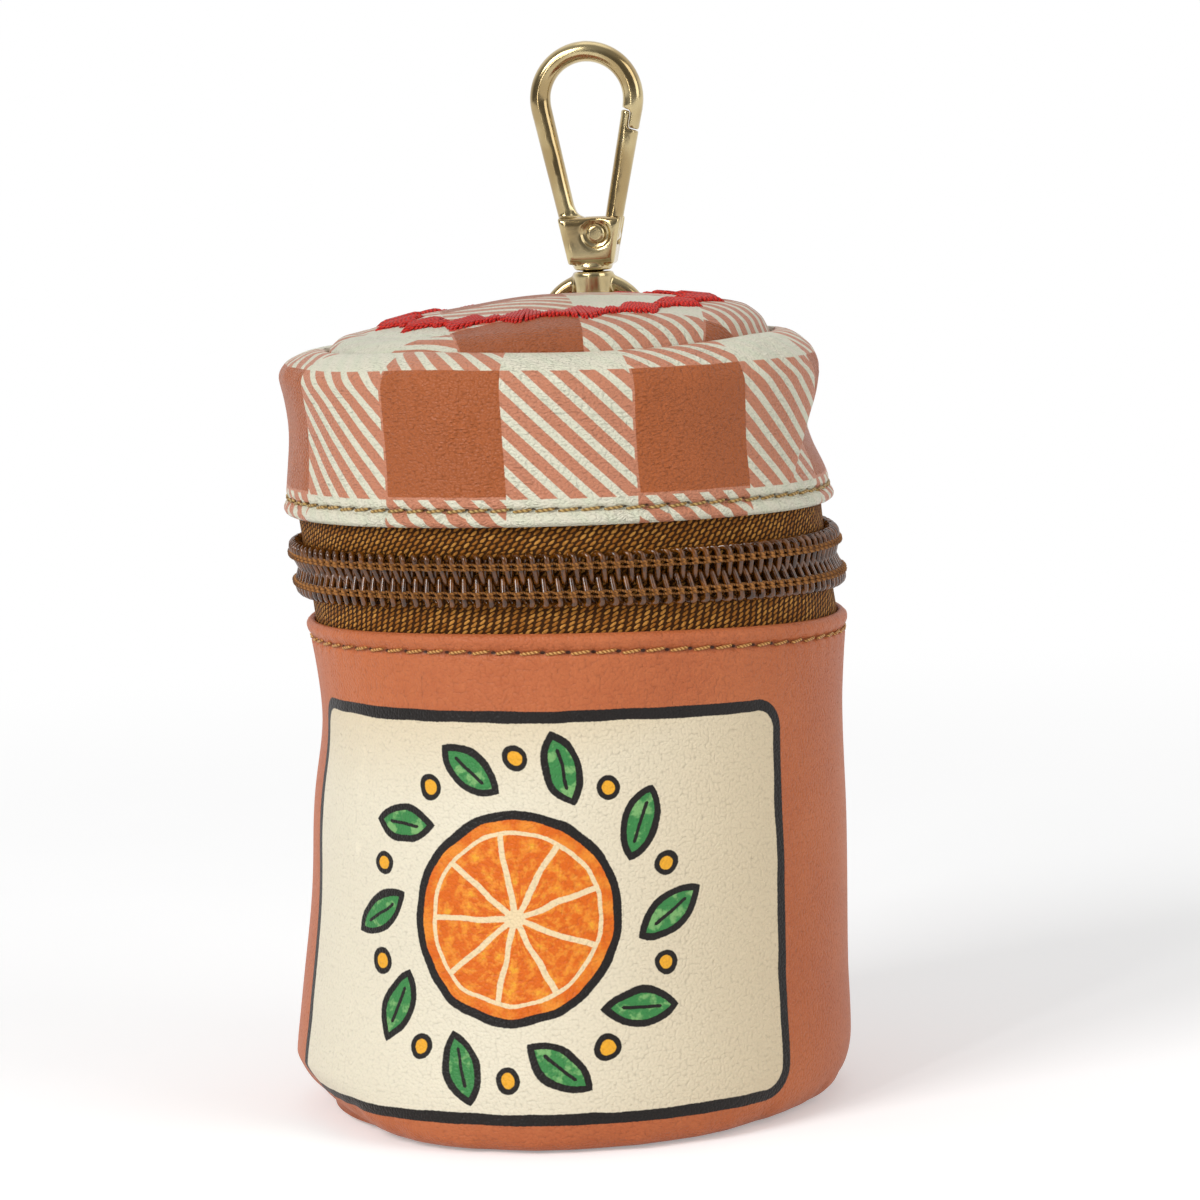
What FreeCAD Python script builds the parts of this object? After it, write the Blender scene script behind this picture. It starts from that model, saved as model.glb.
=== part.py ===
"""Jar-shaped zip pouch in faux leather, with a gingham cloth-style lid and a swivel clasp.

Millimetres. The origin is the centre of the flat base, +Z is up and -Y is the side with the label.
An azimuth is an angle round +Z from -Y, positive towards +X.
"""
import FreeCAD
import Part

import math
import os

V = FreeCAD.Vector
ORIGIN = V(0, 0, 0)
UP = V(0, 0, 1)
TOUCH = 0.001            # nearer than this counts as the same place

# ---------------------------------------------------------------- driving dimensions
# Body: a soft cup of faux leather with a rolled heel and a turned rim.
RIM_R = 30.25            # outside radius at the rim
FOOT_SWELL = 0.85        # how far the foot stands out past the rim
WAIST_PINCH = 0.7        # how far the wall draws in under the rim
BODY_H = 55.5            # base to rim
HEEL_R = 6.5             # roll between base and wall
LEATHER_T = 0.95         # one turned edge of faux leather
PANEL_T = 1.2            # base panel
PANEL_SOFT = 0.4         # round of its lower edge
SWELL_UP = 0.25          # share of the height where the foot's swell is fading
WAIST_UP = 0.83          # share of the height where the wall is narrowest
SEAM_GAP = 0.15          # groove of a turned seam

# Zip: two tapes round the neck with a nylon coil between them.
NECK_H = 12.0            # rim to lid hem
TAPE_T = 0.9             # tape with its backing
TAPE_TUCK = 2.2          # how far a tape runs behind rim and hem
TAPE_PART = 0.3          # slit between the two tapes, under the coil
COIL_W = 6.0             # both rows of coil
COIL_PROUD = 1.6         # coil over the tape
COIL_WAIST = 0.3         # dip where the two rows mesh
ROW_GAP = 0.05           # between the two rows

# Lid: a band that rolls over the shoulder, and a padded top panel.
HEM_OVERHANG = 0.45      # how far the hem stands out past the rim
LID_PINCH = 0.55         # how far the band draws in at half height
LID_H = 17.3             # hem to the top of the shoulder
SHOULDER_DROP = 2.8      # height of the shoulder's roll
SHOULDER_ROLL_W = 2.1    # width of the shoulder's roll
SEAM_ROLL = 0.6          # roll of the shoulder into the top panel's seam
SHOULDER_RISE = 0.9      # slope of the shoulder up to the top panel's seam
SHOULDER_W = 5.7         # hem radius to the top panel's seam
TOP_RISE = 5.2           # top panel over its seam
TOP_BED = 1.3            # top panel's flat underside below its seam
TOP_EDGE = 2.9           # height of the top panel's padded edge
TOP_EDGE_W = 4.2         # width of the top panel's padded edge

# Embroidered border on the top panel: a ring of lozenges joined by round knots.
BORDER_INSET = 8.0       # top panel's seam to the middle of the border
BORDER_COUNT = 16
LOZENGE_WIDE = 5.6       # across the border
KNOT_R = 1.0
KNOT_LAP = 0.45          # how far a knot runs over each lozenge's tip
THREAD_H = 0.45

# Strip of faux leather over the zip's two ends, at the back.
STRIP_W = 18.5
STRIP_T = 1.05           # over the hem
STRIP_LAP_DOWN = 4.0     # over the body, below the rim
STRIP_LAP_UP = 3.6       # over the lid, above the hem

# Tab that carries the clasp at the back of the lid.
TAB_W = 8.6
TAB_T = 1.1              # one leaf
TAB_GAP = 0.5            # from the strip's top to the tab's foot
TAB_NECK = 2.2           # below the loop, where the two leaves close up
EYE_FIT = 0.05           # loop over the eye's bar, radial

# Clasp: an eye with a barrel, and a drop-shaped snap hook that turns in it.
EYE_WIRE_R = 0.95
EYE_PLAY = 0.25          # bar beside the tab, each side
EYE_STRAIGHT = 0.3       # straight side between arch and corner
EYE_CORNER_R = 1.5
EYE_OVER_LOOP = 1.8      # eye's bar to the top of the lid band
BARREL_R = 2.45
BARREL_H = 4.0
BARREL_SOFT = 0.35
BARREL_OVER_ARCH = 0.05
POST_R = 1.1
POST_FIT = 0.06
COLLAR_R = 1.7
COLLAR_GAP = 0.12        # play above and below the barrel
COLLAR_H = 0.7
HEAD_H = 0.8
HEAD_SOFT = 0.3
POST_SINK = 0.3          # how far collar and post run into block and head
HOOK_W = 13.6
HOOK_H = 26.3            # block's foot to the top of the arch
ARCH_WIRE_R = 1.24
BAR_FOOT_R = 1.05        # a side bar where it meets the block
HOOK_TAPER = 11.7        # degrees of each side bar from upright
BLOCK_H = 5.6
BLOCK_T = 4.4
BLOCK_ROUND = 0.7
FORK_GAP = 2.3           # slot in the block for the gate
GATE_T = 2.1
PIVOT_X = 0.8            # gate's rivet, off the hook's centre line
PIVOT_UP = 3.65          # gate's rivet over the block's foot
GATE_EYE_R = 1.75
SLOT_ROOM = 0.25         # slot round the gate's eye
GATE_HEEL_UP = 0.62      # share of the block's height where the gate's bar bends in
RIVET_R = 0.8
RIVET_FIT = 0.05
RIVET_HEAD_R = 1.15
RIVET_HEAD_H = 0.55
RIVET_HEAD_ROUND = 0.45
RECESS_R = 1.75
RECESS_D = 0.35
LAP_OUT = 2.4            # nose's outer half, below the arch's end
LAP_IN = 0.1             # nose's inner half, below the arch's end
LAP_GAP = 0.12
LAP_RISE = 0.5           # room over the gate's tip, which rises as it swings in

# Zip slider and its pull, parked beside the strip.
SLIDER_AZ = 148.0
SLIDER_L = 11.0
SLIDER_WALL_FRONT = 1.55 # metal above and below the coil, wide end
SLIDER_WALL_REAR = 0.75
SLIDER_ROOF = 1.5        # metal over the coil
SLIDER_SKIRT = 1.0       # metal beside the coil, down towards the tape
SLIDER_FIT = 0.15
SLIDER_CORNER = 1.3
SLIDER_SOFT = 0.4        # round of the roof's edges
BRIDGE_L = 7.0
BRIDGE_W = 2.6
BRIDGE_H = 2.6
BRIDGE_T = 1.0
BRIDGE_ROUND = 0.9
PULL_L = 17.0
PULL_W = 5.2
PULL_T = 1.2
PULL_WINDOW_W = 3.4
PULL_WINDOW_L = 4.2
PULL_HOLE_R = 1.1

# ---------------------------------------------------------------- sizes that follow
HEM_R = RIM_R + HEM_OVERHANG
TOP_R = HEM_R - SHOULDER_W
FOOT_R = RIM_R + FOOT_SWELL
WAIST_R = RIM_R - WAIST_PINCH
PANEL_R = FOOT_R - HEEL_R - SEAM_GAP
TAPE_R = RIM_R - LEATHER_T
CORE_R = TAPE_R - TAPE_T
HEM_Z = BODY_H + NECK_H
ZIP_Z = BODY_H + NECK_H / 2
COIL_R = TAPE_R + COIL_PROUD
SHOULDER_Z = HEM_Z + LID_H
SEAM_Z = SHOULDER_Z + SHOULDER_RISE
TOP_BED_Z = SEAM_Z - TOP_BED
TOP_Z = SEAM_Z + TOP_RISE
STRIP_R = HEM_R + STRIP_T
STRIP_HALF = math.degrees(STRIP_W / 2 / STRIP_R)
STRIP_TOP = HEM_Z + STRIP_LAP_UP
BORDER_R = TOP_R - BORDER_INSET
LOZENGE_LONG = 2 * (math.pi * BORDER_R / BORDER_COUNT - KNOT_R + KNOT_LAP)
LOOP_R = EYE_WIRE_R + EYE_FIT
EYE_W = TAB_W + 2 * (EYE_PLAY + EYE_CORNER_R + EYE_WIRE_R)
EYE_Y = HEM_R + TAB_T + LOOP_R
EYE_Z = SHOULDER_Z - EYE_OVER_LOOP
EYE_ARCH_R = EYE_W / 2 - EYE_WIRE_R
EYE_ARCH_Z = EYE_Z + EYE_CORNER_R + EYE_STRAIGHT
BARREL_TOP = EYE_ARCH_Z + EYE_W / 2 + BARREL_OVER_ARCH
BARREL_FOOT = BARREL_TOP - BARREL_H
BLOCK_Z = BARREL_TOP + COLLAR_GAP + COLLAR_H
ARCH_R = HOOK_W / 2 - ARCH_WIRE_R
ARCH_Z = BLOCK_Z + HOOK_H - HOOK_W / 2
TAPER = math.radians(HOOK_TAPER)
PIVOT_Z = BLOCK_Z + PIVOT_UP
PULL_R = COIL_R + SLIDER_FIT + SLIDER_ROOF + PULL_T / 2 + SLIDER_FIT


# ---------------------------------------------------------------- helpers
def line(a, b):
    """Straight edge between two (radius, height) points of a profile."""
    return Part.LineSegment(V(a[0], 0, a[1]), V(b[0], 0, b[1])).toShape()


def path(*points):
    """Straight edges through (radius, height) points of a profile."""
    return [line(a, b) for a, b in zip(points, points[1:])]


def arc(a, middle, b):
    """Round edge through three (radius, height) points of a profile."""
    return Part.Arc(*(V(p[0], 0, p[1]) for p in (a, middle, b))).toShape()


def leaving(start, along, end):
    """Round edge that leaves start in the direction along and stops at end; also its last direction."""
    dr, dz = end[0] - start[0], end[1] - start[1]
    size = math.hypot(*along)
    tr, tz = along[0] / size, along[1] / size
    nr, nz = -tz, tr
    radius = (dr * dr + dz * dz) / (2 * (dr * nr + dz * nz))
    centre = (start[0] + radius * nr, start[1] + radius * nz)
    half_r, half_z = (start[0] + end[0]) / 2 - centre[0], (start[1] + end[1]) / 2 - centre[1]
    stretch = abs(radius) / math.hypot(half_r, half_z)
    middle = (centre[0] + half_r * stretch, centre[1] + half_z * stretch)
    dot = 2 * (tr * dr + tz * dz) / (dr * dr + dz * dz)
    return arc(start, middle, end), (dot * dr - tr, dot * dz - tz)


def curve(points, start, end):
    """Smooth edge through profile points, leaving along start and arriving along end."""
    spline = Part.BSplineCurve()
    spline.interpolate(Points=[V(r, 0, z) for r, z in points],
                       InitialTangent=V(start[0], 0, start[1]), FinalTangent=V(end[0], 0, end[1]))
    return spline.toShape()


def spin(edges, angle=360.0, start=0.0):
    """Solid of a closed profile turned round the axis, from azimuth start through angle."""
    solid = Part.Face(Part.Wire(edges)).revolve(ORIGIN, UP, angle)
    return turned(solid, start - 90.0)


def turned(shape, azimuth):
    """Copy of a shape turned round the axis."""
    copy = shape.copy()
    copy.rotate(ORIGIN, UP, azimuth)
    return copy


def prism(points, low_y, high_y):
    """Upright plate: an (x, z) polygon drawn out along Y."""
    corners = [V(x, low_y, z) for x, z in points]
    face = Part.Face(Part.makePolygon(corners + corners[:1]))
    return face.extrude(V(0, high_y - low_y, 0))


def rod(a, b, radius_a, radius_b=None):
    """Round bar between two points, tapered when its end radii differ."""
    along = b.sub(a)
    if radius_b is None or radius_b == radius_a:
        return Part.makeCylinder(radius_a, along.Length, a, along)
    return Part.makeCone(radius_a, radius_b, along.Length, a, along)


def bend(centre, radius, wire_r, start, sweep):
    """Part of a round wire ring in an XZ plane, from start degrees (0 is +X, 90 is +Z)."""
    ring = Part.makeTorus(radius, wire_r, ORIGIN, UP, -180, 180, sweep)
    ring.rotate(ORIGIN, UP, start)
    ring.rotate(ORIGIN, V(1, 0, 0), 90)
    ring.translate(centre)
    return ring


def joined(shapes):
    """One solid of shapes that share faces or overlap."""
    whole = shapes[0].fuse(list(shapes[1:])).removeSplitter()
    return whole.Solids[0] if len(whole.Solids) == 1 else whole


def rings(solid):
    """Full-circle edges of a solid."""
    return [e for e in solid.Edges if len(e.Vertexes) == 1]


def across_y(edge):
    """Whether a straight edge runs along Y."""
    along = edge.Vertexes[-1].Point.sub(edge.Vertexes[0].Point)
    return abs(along.x) < TOUCH and abs(along.z) < TOUCH and abs(along.y) > TOUCH


# ---------------------------------------------------------------- body
def base_panel():
    """Flat round panel that the pouch stands on, with a soft edge."""
    disc = Part.makeCylinder(PANEL_R, PANEL_T)
    lower = [e for e in rings(disc) if e.CenterOfMass.z < PANEL_T / 2]
    return disc.makeFillet(PANEL_SOFT, lower)


def body_wall():
    """Wall and heel, shut and filled, with the turned rim and the neck under the lower tape."""
    inner = FOOT_R - HEEL_R
    slope = math.sqrt(0.5) * HEEL_R
    lip = LEATHER_T / 2
    lip_z = BODY_H - lip
    middle_up = (SWELL_UP + WAIST_UP) / 2
    side = [(FOOT_R, HEEL_R), (RIM_R + FOOT_SWELL / 2, BODY_H * SWELL_UP),
            (RIM_R - WAIST_PINCH / 3, BODY_H * middle_up), (WAIST_R, BODY_H * WAIST_UP), (RIM_R, lip_z)]
    return spin(
        path((0, PANEL_T), (inner, PANEL_T), (inner, 0))
        + [arc((inner, 0), (inner + slope, HEEL_R - slope), (FOOT_R, HEEL_R)),
           curve(side, (0, 1), (0, 1)),
           arc((RIM_R, lip_z), (RIM_R - lip, BODY_H), (TAPE_R, lip_z))]
        + path((TAPE_R, lip_z), (TAPE_R, BODY_H - TAPE_TUCK), (CORE_R, BODY_H - TAPE_TUCK),
               (CORE_R, ZIP_Z), (0, ZIP_Z), (0, PANEL_T)))


# ---------------------------------------------------------------- zip
def zip_tape(low, high):
    """Woven tape as a band round the neck."""
    return spin(path((CORE_R, low), (TAPE_R, low), (TAPE_R, high), (CORE_R, high), (CORE_R, low)))


def zip_coil(side):
    """One row of coil from edge to edge of the back strip; side is -1 below and +1 above."""
    low, high = ZIP_Z + side * ROW_GAP / 2, ZIP_Z + side * COIL_W / 2
    mesh_line = (COIL_R - COIL_WAIST, low)
    row = [line((TAPE_R, high), (TAPE_R, low)), line((TAPE_R, low), mesh_line),
           arc(mesh_line, (COIL_R, (low + high) / 2), (TAPE_R, high))]
    return spin(row, 360.0 - 2 * STRIP_HALF, 180.0 + STRIP_HALF)


def back_strip(neighbours):
    """Strip over the zip's ends, shaped to what it is sewn over."""
    low, high = BODY_H - STRIP_LAP_DOWN, STRIP_TOP
    block = spin(path((TAPE_R, low), (STRIP_R, low), (STRIP_R, high), (TAPE_R, high), (TAPE_R, low)),
                 2 * STRIP_HALF, 180.0 - STRIP_HALF)
    return block.cut(neighbours)


def slider_outline():
    """Half-widths of the slider's body, wide end first, as an (x, z) polygon."""
    half, channel = SLIDER_L / 2, COIL_W / 2 + SLIDER_FIT
    front, rear = channel + SLIDER_WALL_FRONT, channel + SLIDER_WALL_REAR
    return [(-half, ZIP_Z - front), (half, ZIP_Z - rear), (half, ZIP_Z + rear), (-half, ZIP_Z + front)]


def zip_slider():
    """Slider body astride the coil, with the bridge that holds the pull."""
    roof = COIL_R + SLIDER_FIT + SLIDER_ROOF
    plate = prism(slider_outline(), -roof, -(COIL_R - SLIDER_SKIRT))
    plate = plate.makeFillet(SLIDER_CORNER, [e for e in plate.Edges if across_y(e)])
    plate = plate.makeFillet(SLIDER_SOFT, [e for e in plate.Edges if e.BoundBox.YMax < -roof + TOUCH])
    reach = COIL_R + SLIDER_FIT
    half = COIL_W / 2 + SLIDER_FIT
    channel = Part.makeCylinder(reach, 2 * half, V(0, 0, ZIP_Z - half))
    top = roof + BRIDGE_H
    bridge = Part.makeBox(BRIDGE_L, BRIDGE_H + SLIDER_ROOF / 2, BRIDGE_W,
                          V(-BRIDGE_L / 2, -top, ZIP_Z - BRIDGE_W / 2))
    ends = [e for e in bridge.Edges if e.BoundBox.YMax < -top + TOUCH and e.BoundBox.XLength < TOUCH]
    bridge = bridge.makeFillet(BRIDGE_ROUND, ends)
    room = Part.makeBox(BRIDGE_L - 2 * BRIDGE_T, BRIDGE_H - BRIDGE_T, 2 * BRIDGE_W,
                        V(-BRIDGE_L / 2 + BRIDGE_T, -top + BRIDGE_T, ZIP_Z - BRIDGE_W))
    return turned(joined([plate.cut(channel), bridge.cut(channel)]).cut(room), SLIDER_AZ)


def zip_pull():
    """Flat pull with a window for the bridge and a hole near its free end."""
    half_t, half_w = PULL_T / 2, PULL_W / 2
    straight = PULL_L - half_w
    plate = Part.makeBox(straight, PULL_T, PULL_W, V(0, -PULL_R - half_t, ZIP_Z - half_w))
    nose = Part.makeCylinder(half_w, PULL_T, V(straight, -PULL_R - half_t, ZIP_Z), V(0, 1, 0))
    bar = Part.makeCylinder(half_t, PULL_W, V(0, -PULL_R, ZIP_Z - half_w))
    hole = Part.makeCylinder(PULL_HOLE_R, 3 * PULL_T, V(straight, -PULL_R - PULL_T, ZIP_Z), V(0, 1, 0))
    window = Part.makeBox(PULL_WINDOW_L, 3 * PULL_T, PULL_WINDOW_W,
                          V(half_t, -PULL_R - PULL_T, ZIP_Z - PULL_WINDOW_W / 2))
    return turned(joined([plate, nose, bar]).cut(hole).cut(window), SLIDER_AZ)


# ---------------------------------------------------------------- lid
def lid_band():
    """Band and shoulder of the lid, shut and filled, with the turned hem."""
    lip = LEATHER_T / 2
    lip_z = HEM_Z + lip
    roll_z = SHOULDER_Z - SHOULDER_DROP
    side = [(HEM_R, lip_z), (HEM_R - LID_PINCH, HEM_Z + LID_H / 2), (HEM_R - LID_PINCH / 3, roll_z)]
    shoulder = (side[-1][0] - SHOULDER_ROLL_W, SHOULDER_Z)
    roll, slope = leaving(side[-1], (0, 1), shoulder)
    seam = (TOP_R + SEAM_ROLL, SEAM_Z)
    turn_in = (TOP_R, SEAM_Z - SEAM_ROLL)
    return spin(
        path((0, ZIP_Z), (CORE_R, ZIP_Z), (CORE_R, HEM_Z + TAPE_TUCK), (HEM_R - LEATHER_T, HEM_Z + TAPE_TUCK),
             (HEM_R - LEATHER_T, lip_z))
        + [arc((HEM_R - LEATHER_T, lip_z), (HEM_R - lip, HEM_Z), (HEM_R, lip_z)),
           curve(side, (0, 1), (0, 1)), roll, leaving(shoulder, slope, seam)[0],
           leaving(seam, (-1, 0), turn_in)[0]]
        + path(turn_in, (TOP_R, TOP_BED_Z), (0, TOP_BED_Z), (0, ZIP_Z)))


def dome(lift=0.0):
    """Padded top panel; lift raises a copy, for what lies on it."""
    edge_r = TOP_R - SEAM_GAP
    foot = (edge_r, SEAM_Z - SEAM_ROLL + lift)
    edge = (edge_r - TOP_EDGE_W, SEAM_Z + TOP_EDGE + lift)
    peak = (0, TOP_Z + lift)
    crown, slope = leaving(peak, (1, 0), edge)
    roll, _ = leaving(edge, slope, foot)
    return spin(path(foot, (edge_r, TOP_BED_Z), (0, TOP_BED_Z), peak) + [crown, roll])


def lid_border():
    """Embroidered ring of lozenges and knots, raised on the top panel."""
    tall = 2 * TOP_RISE
    pieces = []
    for i in range(BORDER_COUNT):
        turn = 360.0 * i / BORDER_COUNT
        half_l, half_w = LOZENGE_LONG / 2, LOZENGE_WIDE / 2
        corners = [V(-half_l, -BORDER_R, 0), V(0, -BORDER_R - half_w, 0), V(half_l, -BORDER_R, 0),
                   V(0, -BORDER_R + half_w, 0)]
        lozenge = Part.Face(Part.makePolygon(corners + corners[:1])).extrude(V(0, 0, tall))
        knot = Part.makeCylinder(KNOT_R, tall, V(0, -BORDER_R, 0))
        pieces += [turned(lozenge, turn), turned(knot, turn + 180.0 / BORDER_COUNT)]
    ring = joined(pieces)
    ring.translate(V(0, 0, SEAM_Z))
    return ring.common(dome(THREAD_H)).cut(dome())


def clasp_tab(lid):
    """Folded tab: a loop over the eye's bar, and two leaves that lie on the lid's back."""
    outer = LOOP_R + TAB_T
    foot, close_z = STRIP_TOP + TAB_GAP, EYE_Z - outer - TAB_NECK
    inside, back = HEM_R - LID_PINCH - TAB_T, HEM_R + 2 * TAB_T
    corners = [V(-TAB_W / 2, y, z) for y, z in
               ((inside, foot), (back, foot), (back, close_z), (EYE_Y + outer, EYE_Z), (inside, EYE_Z))]
    leaves = Part.Face(Part.makePolygon(corners + corners[:1])).extrude(V(TAB_W, 0, 0))
    side = V(1, 0, 0)
    roll = Part.makeCylinder(outer, TAB_W, V(-TAB_W / 2, EYE_Y, EYE_Z), side)
    bore = Part.makeCylinder(LOOP_R, 2 * TAB_W, V(-TAB_W, EYE_Y, EYE_Z), side)
    return joined([leaves, roll]).cut(bore).cut(lid)


# ---------------------------------------------------------------- clasp
def at(x, z):
    """Point in the clasp's own upright plane."""
    return V(x, EYE_Y, z)


def clasp_eye():
    """D-shaped eye of round wire with the barrel that the hook turns in."""
    side, low = EYE_ARCH_R, EYE_Z + EYE_CORNER_R
    inner = side - EYE_CORNER_R
    wire = [bend(at(0, EYE_ARCH_Z), side, EYE_WIRE_R, 0, 180),
            rod(at(-inner, EYE_Z), at(inner, EYE_Z), EYE_WIRE_R)]
    for sign, start in ((1, 270), (-1, 180)):
        wire.append(rod(at(sign * side, low), at(sign * side, EYE_ARCH_Z), EYE_WIRE_R))
        wire.append(bend(at(sign * inner, low), EYE_CORNER_R, EYE_WIRE_R, start, 90))
    barrel = Part.makeCylinder(BARREL_R, BARREL_H, at(0, BARREL_FOOT))
    barrel = barrel.makeFillet(BARREL_SOFT, rings(barrel))
    bore = Part.makeCylinder(POST_R + POST_FIT, 3 * BARREL_H, at(0, BARREL_FOOT - BARREL_H))
    return joined([barrel] + wire).cut(bore)


def side_bar(sign, foot_z):
    """Tapered bar of the hook, from the end of the arch down to foot_z; sign is the side."""
    top = at(sign * ARCH_R * math.cos(TAPER), ARCH_Z - ARCH_R * math.sin(TAPER))
    drop = top.z - foot_z
    foot = at(top.x - sign * drop * math.tan(TAPER), foot_z)
    full_drop = top.z - (BLOCK_Z + BLOCK_H)
    foot_r = ARCH_WIRE_R + (BAR_FOOT_R - ARCH_WIRE_R) * min(1.0, drop / full_drop)
    return rod(top, foot, ARCH_WIRE_R, foot_r)


def half_space(side, low_z, high_z, clearance, slope=0.0):
    """Slab beside the gate bar's centre line, on side +1 (outside) or -1; slope tips its ends."""
    top = (ARCH_R * math.cos(TAPER), ARCH_Z - ARCH_R * math.sin(TAPER))
    corners = []
    for off, z in ((clearance, low_z), (HOOK_W, low_z), (HOOK_W, high_z), (clearance, high_z)):
        centre = top[0] - (top[1] - z) * math.tan(TAPER)
        corners.append((centre + side * off, z - side * off * slope))
    return prism(corners, EYE_Y - HOOK_W, EYE_Y + HOOK_W)


def lap_slope():
    """Slope of the lap's outer faces, along the way the gate's tip moves there."""
    joint_z = ARCH_Z - ARCH_R * math.sin(TAPER) - LAP_OUT
    joint_x = half_width(joint_z) - BAR_FOOT_R
    return (joint_x - PIVOT_X) / (joint_z - PIVOT_Z)


def block_outline():
    """Front outline of the hook's block, as wide as the two bars that run into it."""
    foot, head = half_width(BLOCK_Z), half_width(BLOCK_Z + BLOCK_H)
    return [(-foot, BLOCK_Z), (foot, BLOCK_Z), (head, BLOCK_Z + BLOCK_H), (-head, BLOCK_Z + BLOCK_H)]


def half_width(z):
    """Half the hook's outside width at a height below its arch."""
    top_z = ARCH_Z - ARCH_R * math.sin(TAPER)
    centre = ARCH_R * math.cos(TAPER) - (top_z - z) * math.tan(TAPER)
    return centre + BAR_FOOT_R / math.cos(TAPER)


def through_pivot(radius, low_y, high_y):
    """Round bar on the gate's pivot, between two distances from the clasp's plane."""
    return Part.makeCylinder(radius, high_y - low_y, V(PIVOT_X, EYE_Y + low_y, PIVOT_Z), V(0, 1, 0))


def rivet_bore():
    """Hole for the rivet, through fork and gate."""
    return through_pivot(RIVET_R + RIVET_FIT, -BLOCK_T, BLOCK_T)


def clasp_hook():
    """Drop-shaped frame with its block, fork, nose and swivel post."""
    arch = bend(at(0, ARCH_Z), ARCH_R, ARCH_WIRE_R, -HOOK_TAPER, 180 + 2 * HOOK_TAPER)
    tip_z = ARCH_Z - ARCH_R * math.sin(TAPER)
    nose = side_bar(1, tip_z - 2 * LAP_OUT)
    inner_waste = half_space(-1, BLOCK_Z, tip_z - LAP_IN, 0.0)
    outer_waste = half_space(1, BLOCK_Z, tip_z - LAP_OUT, -HOOK_W, lap_slope())
    nose = nose.cut([inner_waste, outer_waste])
    block = prism(block_outline(), EYE_Y - BLOCK_T / 2, EYE_Y + BLOCK_T / 2)
    block = block.makeFillet(BLOCK_ROUND, [e for e in block.Edges if not across_y(e)])
    slot_r = GATE_EYE_R + SLOT_ROOM
    slot = Part.makeBox(HOOK_W, FORK_GAP, 2 * BLOCK_H,
                        V(PIVOT_X - slot_r, EYE_Y - FORK_GAP / 2, PIVOT_Z - slot_r))
    recesses = [through_pivot(RECESS_R, BLOCK_T / 2 - RECESS_D, BLOCK_T),
                through_pivot(RECESS_R, -BLOCK_T, RECESS_D - BLOCK_T / 2)]
    head_top = BARREL_FOOT - COLLAR_GAP
    post = Part.makeCylinder(POST_R, BLOCK_Z - head_top + 2 * POST_SINK, at(0, head_top - POST_SINK))
    collar = Part.makeCylinder(COLLAR_R, COLLAR_H + POST_SINK, at(0, BLOCK_Z - COLLAR_H))
    head = Part.makeCylinder(COLLAR_R, HEAD_H, at(0, head_top - HEAD_H))
    head = head.makeFillet(HEAD_SOFT, [e for e in rings(head) if e.CenterOfMass.z < head_top - HEAD_H / 2])
    frame = joined([arch, side_bar(-1, BLOCK_Z + BAR_FOOT_R), nose, block, post, collar, head])
    return frame.cut([slot, rivet_bore()] + recesses)


def clasp_gate():
    """Gate: a bar from the nose down to a flat eye round its rivet."""
    tip_z = ARCH_Z - ARCH_R * math.sin(TAPER)
    heel_z = BLOCK_Z + BLOCK_H * GATE_HEEL_UP
    bar = side_bar(1, heel_z)
    inner_waste = half_space(-1, tip_z - LAP_IN - LAP_RISE, ARCH_Z, -HOOK_W)
    outer_waste = half_space(1, tip_z - LAP_OUT - LAP_GAP, ARCH_Z, -LAP_GAP, lap_slope())
    bar = bar.cut([inner_waste, outer_waste])
    bar = bar.common(Part.makeBox(HOOK_W, GATE_T, HOOK_H, V(0, EYE_Y - GATE_T / 2, BLOCK_Z)))
    heel_x = half_width(heel_z) - BAR_FOOT_R
    low_y = EYE_Y - GATE_T / 2
    eye = through_pivot(GATE_EYE_R, -GATE_T / 2, GATE_T / 2)
    heel = Part.makeCylinder(BAR_FOOT_R, GATE_T, V(heel_x, low_y, heel_z), V(0, 1, 0))
    out_x, out_z = heel_x - PIVOT_X, heel_z - PIVOT_Z
    span = math.hypot(out_x, out_z)
    side_x, side_z = out_z / span, -out_x / span
    web = prism([(PIVOT_X + side_x * GATE_EYE_R, PIVOT_Z + side_z * GATE_EYE_R),
                 (heel_x + side_x * BAR_FOOT_R, heel_z + side_z * BAR_FOOT_R),
                 (heel_x - side_x * BAR_FOOT_R, heel_z - side_z * BAR_FOOT_R),
                 (PIVOT_X - side_x * GATE_EYE_R, PIVOT_Z - side_z * GATE_EYE_R)], low_y, low_y + GATE_T)
    return joined([bar, eye, heel, web]).cut(rivet_bore())


def gate_rivet():
    """Rivet through fork and gate, with a low domed head in each recess."""
    half = BLOCK_T / 2 - RECESS_D
    shank = through_pivot(RIVET_R, -half, half)
    heads = []
    for side in (-1, 1):
        head = Part.makeCylinder(RIVET_HEAD_R, RIVET_HEAD_H, V(PIVOT_X, EYE_Y + side * half, PIVOT_Z),
                                 V(0, side, 0))
        far = [e for e in rings(head) if abs(e.CenterOfMass.y - EYE_Y) > half + RIVET_HEAD_H / 2]
        heads.append(head.makeFillet(RIVET_HEAD_ROUND, far))
    return joined([shank] + heads)


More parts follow.
